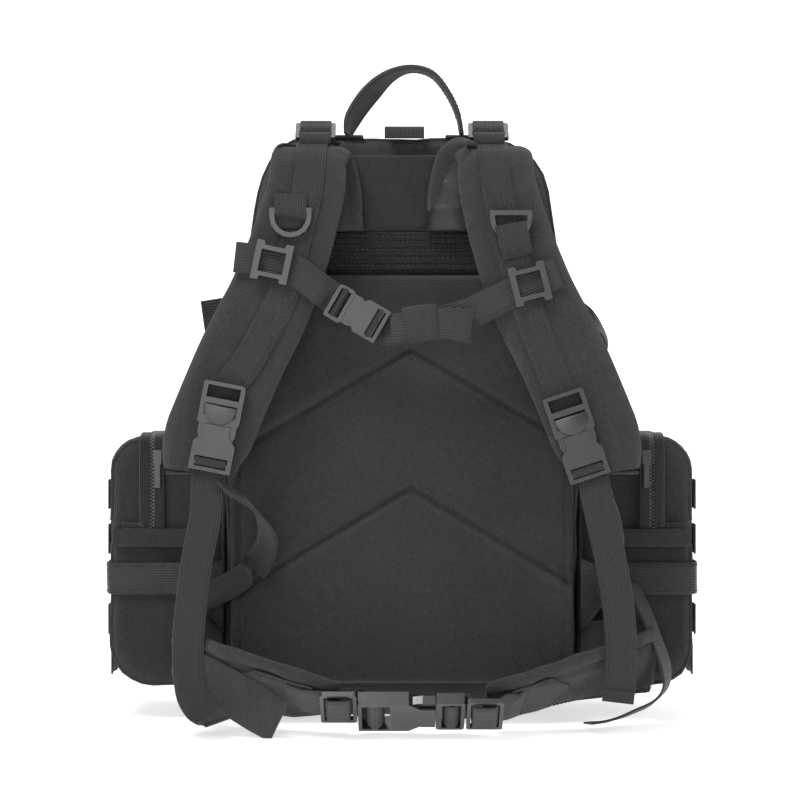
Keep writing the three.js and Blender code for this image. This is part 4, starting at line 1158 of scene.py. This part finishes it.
keeper = Path([(2.4, -61, 329.5), (15, -61.4, 332), (29, -61.4, 333.2)], across=UPWARDS, steps=20)
band = swept("chest_keeper", keeper, 29, 5.6, FINE_WEBBING)
bend(band, "chest_strap", "chest_female", (50, -58, 338), (4, -59, 328), "webbing")
flap = Path([(25, -62.6, 331.5), (34, -63.4, 331.5), (44, -64.2, 330.5), (52, -64.6, 329),
             (55.5, -63.8, 328.5), (52, -62.4, 329.5), (42, -62.0, 331)], across=(0.12, 0, 1), steps=50)
tail = swept("chest_folded_tail", flap, lambda t: 25 + 3 * t, 1.7, WEBBING, ruffle=0.5)
bend(tail, "chest_strap", "chest_female", (60, -58, 338), (10, -59, 328), "webbing")
rows = [chest_left.row(o, 1.1, chest_left.length - 32, chest_left.length - 26, 2) for o in (-9, -4, 1, 6)]
wear(stitches("left_chest_stitches", rows), "chest_strap")

# %% [markdown]
# ## Hip belt
# A padded wing comes forward from each side of the pack. A roll of foam fills its top edge, above a line of
# stitches, and the lower part hangs flatter. Webbing runs from each wing through a ladder lock to the buckle.
# %% Hip wings
WINGS = {
    "left": [(150, 11, 62, 8), (164, 12, 62, 8), (179, 7, 62, 12), (184, -6, 61, 20), (179, -20, 59, 28),
             (164, -34, 56, 36), (143, -45, 52, 42), (118, -54, 47, 46), (90, -61, 40, 48),
             (66, -65, 34, 50), (50, -66.5, 31, 50)],
    "right": [(150, 11, 58, 8), (174, 12, 58, 8), (195, 8, 57, 12), (204, -6, 56, 20), (194, -21, 54, 28),
              (170, -34, 50, 36), (145, -45, 46, 42), (118, -53, 39.5, 46), (92, -58.2, 33, 48),
              (68, -59.8, 28, 50)],
}
WING_SECTION = puffed(28, seams=(0.3, -0.44), depth=0.2, power=6)
HIP_BODIES = ("pack", "hip_belt")


def leaning(stops, sign):
    turn = [math.radians(s[3]) for s in stops]
    return [(sign * s[0], s[1], s[2], 0, -math.sin(a), math.cos(a)) for s, a in zip(stops, turn)]


def wing_width(share):
    return 56 - 12 * max(0, share - 0.55) - 6 * max(0, 0.25 - share) - 6 * max(0, share - 0.93) / 0.07


def wing_thick(share):
    return 12.5 * (1 - 0.45 * max(0, share - 0.94) / 0.06)


WING_PATHS = {}
for side, sign in SIDES:
    path = WING_PATHS[side] = Path(leaning(WINGS[side], sign), steps=150)
    wing = swept(f"{side}_wing", path, wing_width, lambda t, sign=sign: sign * wing_thick(t), PAD_CLOTH,
                 WING_SECTION,
                 ruffle=2.4)
    bend(wing, *HIP_BODIES, (sign * 180, 11, 62), (sign * 180, -14, 60), "pad_cloth", [f"{side}_hip_wing"],
         fill=0.5)
    rows = [path.row(lambda t, e=e: e * wing_width(t), sign * out, 60, path.length - 6)
            for e, out in ((0.3, 4.6), (-0.44, 4.2))]
    wear(stitches(f"{side}_wing_stitches", rows), "hip_belt")
    edge = path.row(lambda t: -0.5 * wing_width(t), 0, 60, path.length - 8)
    wear(cord_along(f"{side}_wing_binding", edge, 3, PIPING), "hip_belt")

# %% Hip webbing
HIP_WEB_STOPS = {
    "left": [(134, -49, 50, 45), (128, -50.5, 49, 45), (104, -57.5, 43.5, 48), (84, -62, 38.5, 49),
             (70, -64, 35, 50)],
    "right": [(132, -49, 43, 45), (110, -54.6, 37.5, 47), (94, -58.1, 33.5, 48), (86, -60, 31, 49)],
}
for side, sign in SIDES:
    path = Path(leaning(HIP_WEB_STOPS[side], sign), steps=50)
    web = swept(f"{side}_hip_webbing", path, lambda t: 38 * min(1, 0.25 + 2.4 * t), 2, WEBBING,
                lift=sign * 7.4,
                ruffle=0.8)
    wear(web, "hip_belt", [f"{side}_hip_web"])
    rows = [path.row(lambda t, o=o: o * 38 * min(1, 0.25 + 2.4 * t), sign * 8.6, 2, path.length - 2)
            for o in (-0.43, 0.43)]
    wear(stitches(f"{side}_hip_stitches", rows), "hip_belt")

TILT = math.radians(55)
FACING = np.array((0, -math.cos(TILT), -math.sin(TILT)))
BUCKLE_UP = (0, -math.sin(TILT), math.cos(TILT))


def through_buckle(stops):
    """Stops are (x, y, z, out): out is how far the web lies in front of the buckle's middle plane."""
    return [(*(np.array((x, y, z)) + FACING * out), *BUCKLE_UP) for x, y, z, out in stops]


LEFT_LINK = through_buckle([(-92, -60, 41, 9.5), (-78, -65, 35, 7), (-67, -74, 28, -1),
                            (-62.5, -77, 25.6, -3.4), (-60.2, -77, 25.5, 0), (-58.4, -77, 25.5, 3.2),
                            (-50.5, -77, 25.5, 3.8), (-42.6, -77, 25.5, 3.2), (-40.8, -76.6, 25.2, 0),
                            (-38.5, -75, 24.4, -3.4), (-33, -71.6, 22, -3.4), (-29, -70.6, 21.4, -1),
                            (-26, -70, 21, 3.6), (-21.6, -70, 21, 5.4), (-17, -70, 21, 3.6),
                            (-14.5, -70, 21, -1)])
left_link = swept("left_hip_link", Path(LEFT_LINK, steps=200), HIP_WEB, 1.7, WEBBING)
wear(left_link, "hip_belt")
RIGHT_LINK = through_buckle([(96, -58.5, 34, 9), (88, -64, 28, 5), (82, -72, 23, -1.5),
                             (78, -76.6, 20.4, -3.4), (75.8, -77, 20, 0), (74, -77, 20, 3.2),
                             (66, -77, 20, 3.8), (58, -77, 20, 3.2), (56.2, -76.6, 20.1, 0),
                             (54, -75, 20.4, -3.4), (50, -71.5, 20.8, -3), (46, -70, 21, -0.5),
                             (43.2, -70, 21, 3.6), (39.6, -70, 21, 5.2), (36, -70, 21, 3.6),
                             (33, -70, 21, -1)])
right_link = swept("right_hip_link", Path(RIGHT_LINK, steps=200), HIP_WEB, 1.7, WEBBING)
bend(right_link, "hip_belt", "hip_male", (96, -58, 34), (80, -66, 26), "webbing")

# %% Loose ends
# The hip strap's wide tail lies across the left wing, and a compression tail hangs edge-on by the right
# pouch.
LEFT_TAIL = [(-164, -56, 48, 0.12, 0, -1), (-155.5, -60, 44, 0.18, 0, -0.98),
             (-130, -66, 31, 0.42, -0.1, -0.88), (-108, -71, 18, 0.66, -0.1, -0.72),
             (-98, -73, 12.5, 0.74, -0.1, -0.64)]
# The tail is the hip strap's own webbing, given a smooth weave and a colour more than twice as light as the
# strap: painted light.
painted_light_tail_web = woven_cloth("painted_light_tail_webbing", grey(0.028), 0.9, roughness=0.55)
tail_path = Path(LEFT_TAIL, steps=50)
wear(swept("left_hip_tail", tail_path, HIP_WEB, 1.6, painted_light_tail_web, ruffle=1.2), "hip_belt")
RIGHT_TAIL = [(190, 12, 117, 0.5, 0.8, 0), (199, 0, 101, 0.5, 0.8, 0), (211, -13, 70, 0.4, 0.9, 0.1),
              (217, -20, 50, 0.4, 0.9, 0.1), (217, -22, 36, 0.3, 0.9, -0.1), (207, -26, 23, 0, 0.9, -0.25),
              (189, -32, 15, 0, 0.9, -0.25), (167, -40, 9, 0, 0.95, -0.15), (151, -44, 7.5, 0, 1, -0.1)]
wear(swept("right_compression_tail", Path(RIGHT_TAIL, steps=70), 24, 1.8, WEBBING), "pack")

# %% [markdown]
# ## Moulded parts
# Buckles, locks, rings and zip sliders are moulded, so their solids are right as they are. Real mouldings
# have no knife edges: a small bevel rounds them and catches the light in thin bright lines.
# %% Moulded parts
MOULDED = ("buckle", "male", "female", "d_ring", "tri_glide", "prong", "_slider")
EDGE_ROUND = 0.0007
moulded = [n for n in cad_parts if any(word in n for word in MOULDED)]
for name in moulded:
    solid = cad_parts[name]
    solid.data.materials[0] = BUCKLE
    bevel = solid.modifiers.new("rounded", "BEVEL")
    bevel.width = EDGE_ROUND
    bevel.segments = 2
    bevel.limit_method = "ANGLE"
    bevel.angle_limit = math.radians(30)
    bevel.harden_normals = False
print(len(moulded), "moulded parts")

# %% [markdown]
# ## Light and floor
# A pale floor and an even white surround suit black cloth: the shape is read from wide soft highlights. One
# large light stands high on the left, a weaker one on the right, and one above the back edge picks out the
# top.
# %% Light and floor
SWEEP = [(-4, 0), (1.2, 0), (1.7, 0.06), (2.1, 0.3), (2.3, 0.8), (2.35, 4)]
points = [(x, y, z - 0.0008) for y, z in SWEEP for x in (-5, 5)]
faces = [(2 * i, 2 * i + 1, 2 * i + 3, 2 * i + 2) for i in range(len(SWEEP) - 1)]
sweep_mesh = bpy.data.meshes.new("floor")
sweep_mesh.from_pydata(points, [], faces)
sweep_mesh.polygons.foreach_set("use_smooth", [True] * len(faces))
floor = bpy.data.objects.new("floor", sweep_mesh)
bpy.context.scene.collection.objects.link(floor)
floor_material, _, floor_shader, _ = new_material("pale_floor", 0.9, specular=0.1)
floor_shader.inputs["Base Color"].default_value = (0.9, 0.9, 0.9, 1)
floor_shader.inputs["Emission Color"].default_value = (1, 1, 1, 1)
floor_shader.inputs["Emission Strength"].default_value = 0.62
floor.data.materials.append(floor_material)

world = bpy.data.worlds.new("surround")
world.use_nodes = True
world.node_tree.nodes["Background"].inputs["Color"].default_value = (1, 1, 1, 1)
world.node_tree.nodes["Background"].inputs["Strength"].default_value = 0.12
bpy.context.scene.world = world


def softbox(name, place, target, size, power):
    lamp = bpy.data.lights.new(name, "AREA")
    lamp.size = size
    lamp.energy = power
    holder = bpy.data.objects.new(name, lamp)
    bpy.context.scene.collection.objects.link(holder)
    holder.location = place
    holder.rotation_euler = (Vector(target) - Vector(place)).to_track_quat("-Z", "Y").to_euler()


SOFTBOXES = (  # name, place, what it points at, width in metres, watts
    ("key_light", (-0.8, -1.2, 2.2), (0, -0.1, 0.3), 0.9, 46),
    ("front_light", (-0.35, -2.3, 0.75), (0, -0.1, 0.3), 1.2, 17),
    ("fill_light", (1.7, -1.2, 1.3), (0, -0.1, 0.25), 0.9, 14),
    ("top_light", (0.1, 0.5, 2.0), (0, 0, 0.3), 1.0, 10),
)
for softbox_values in SOFTBOXES:
    softbox(*softbox_values)
bpy.context.scene.view_settings.view_transform = "Standard"
bpy.context.scene.view_settings.look = "None"
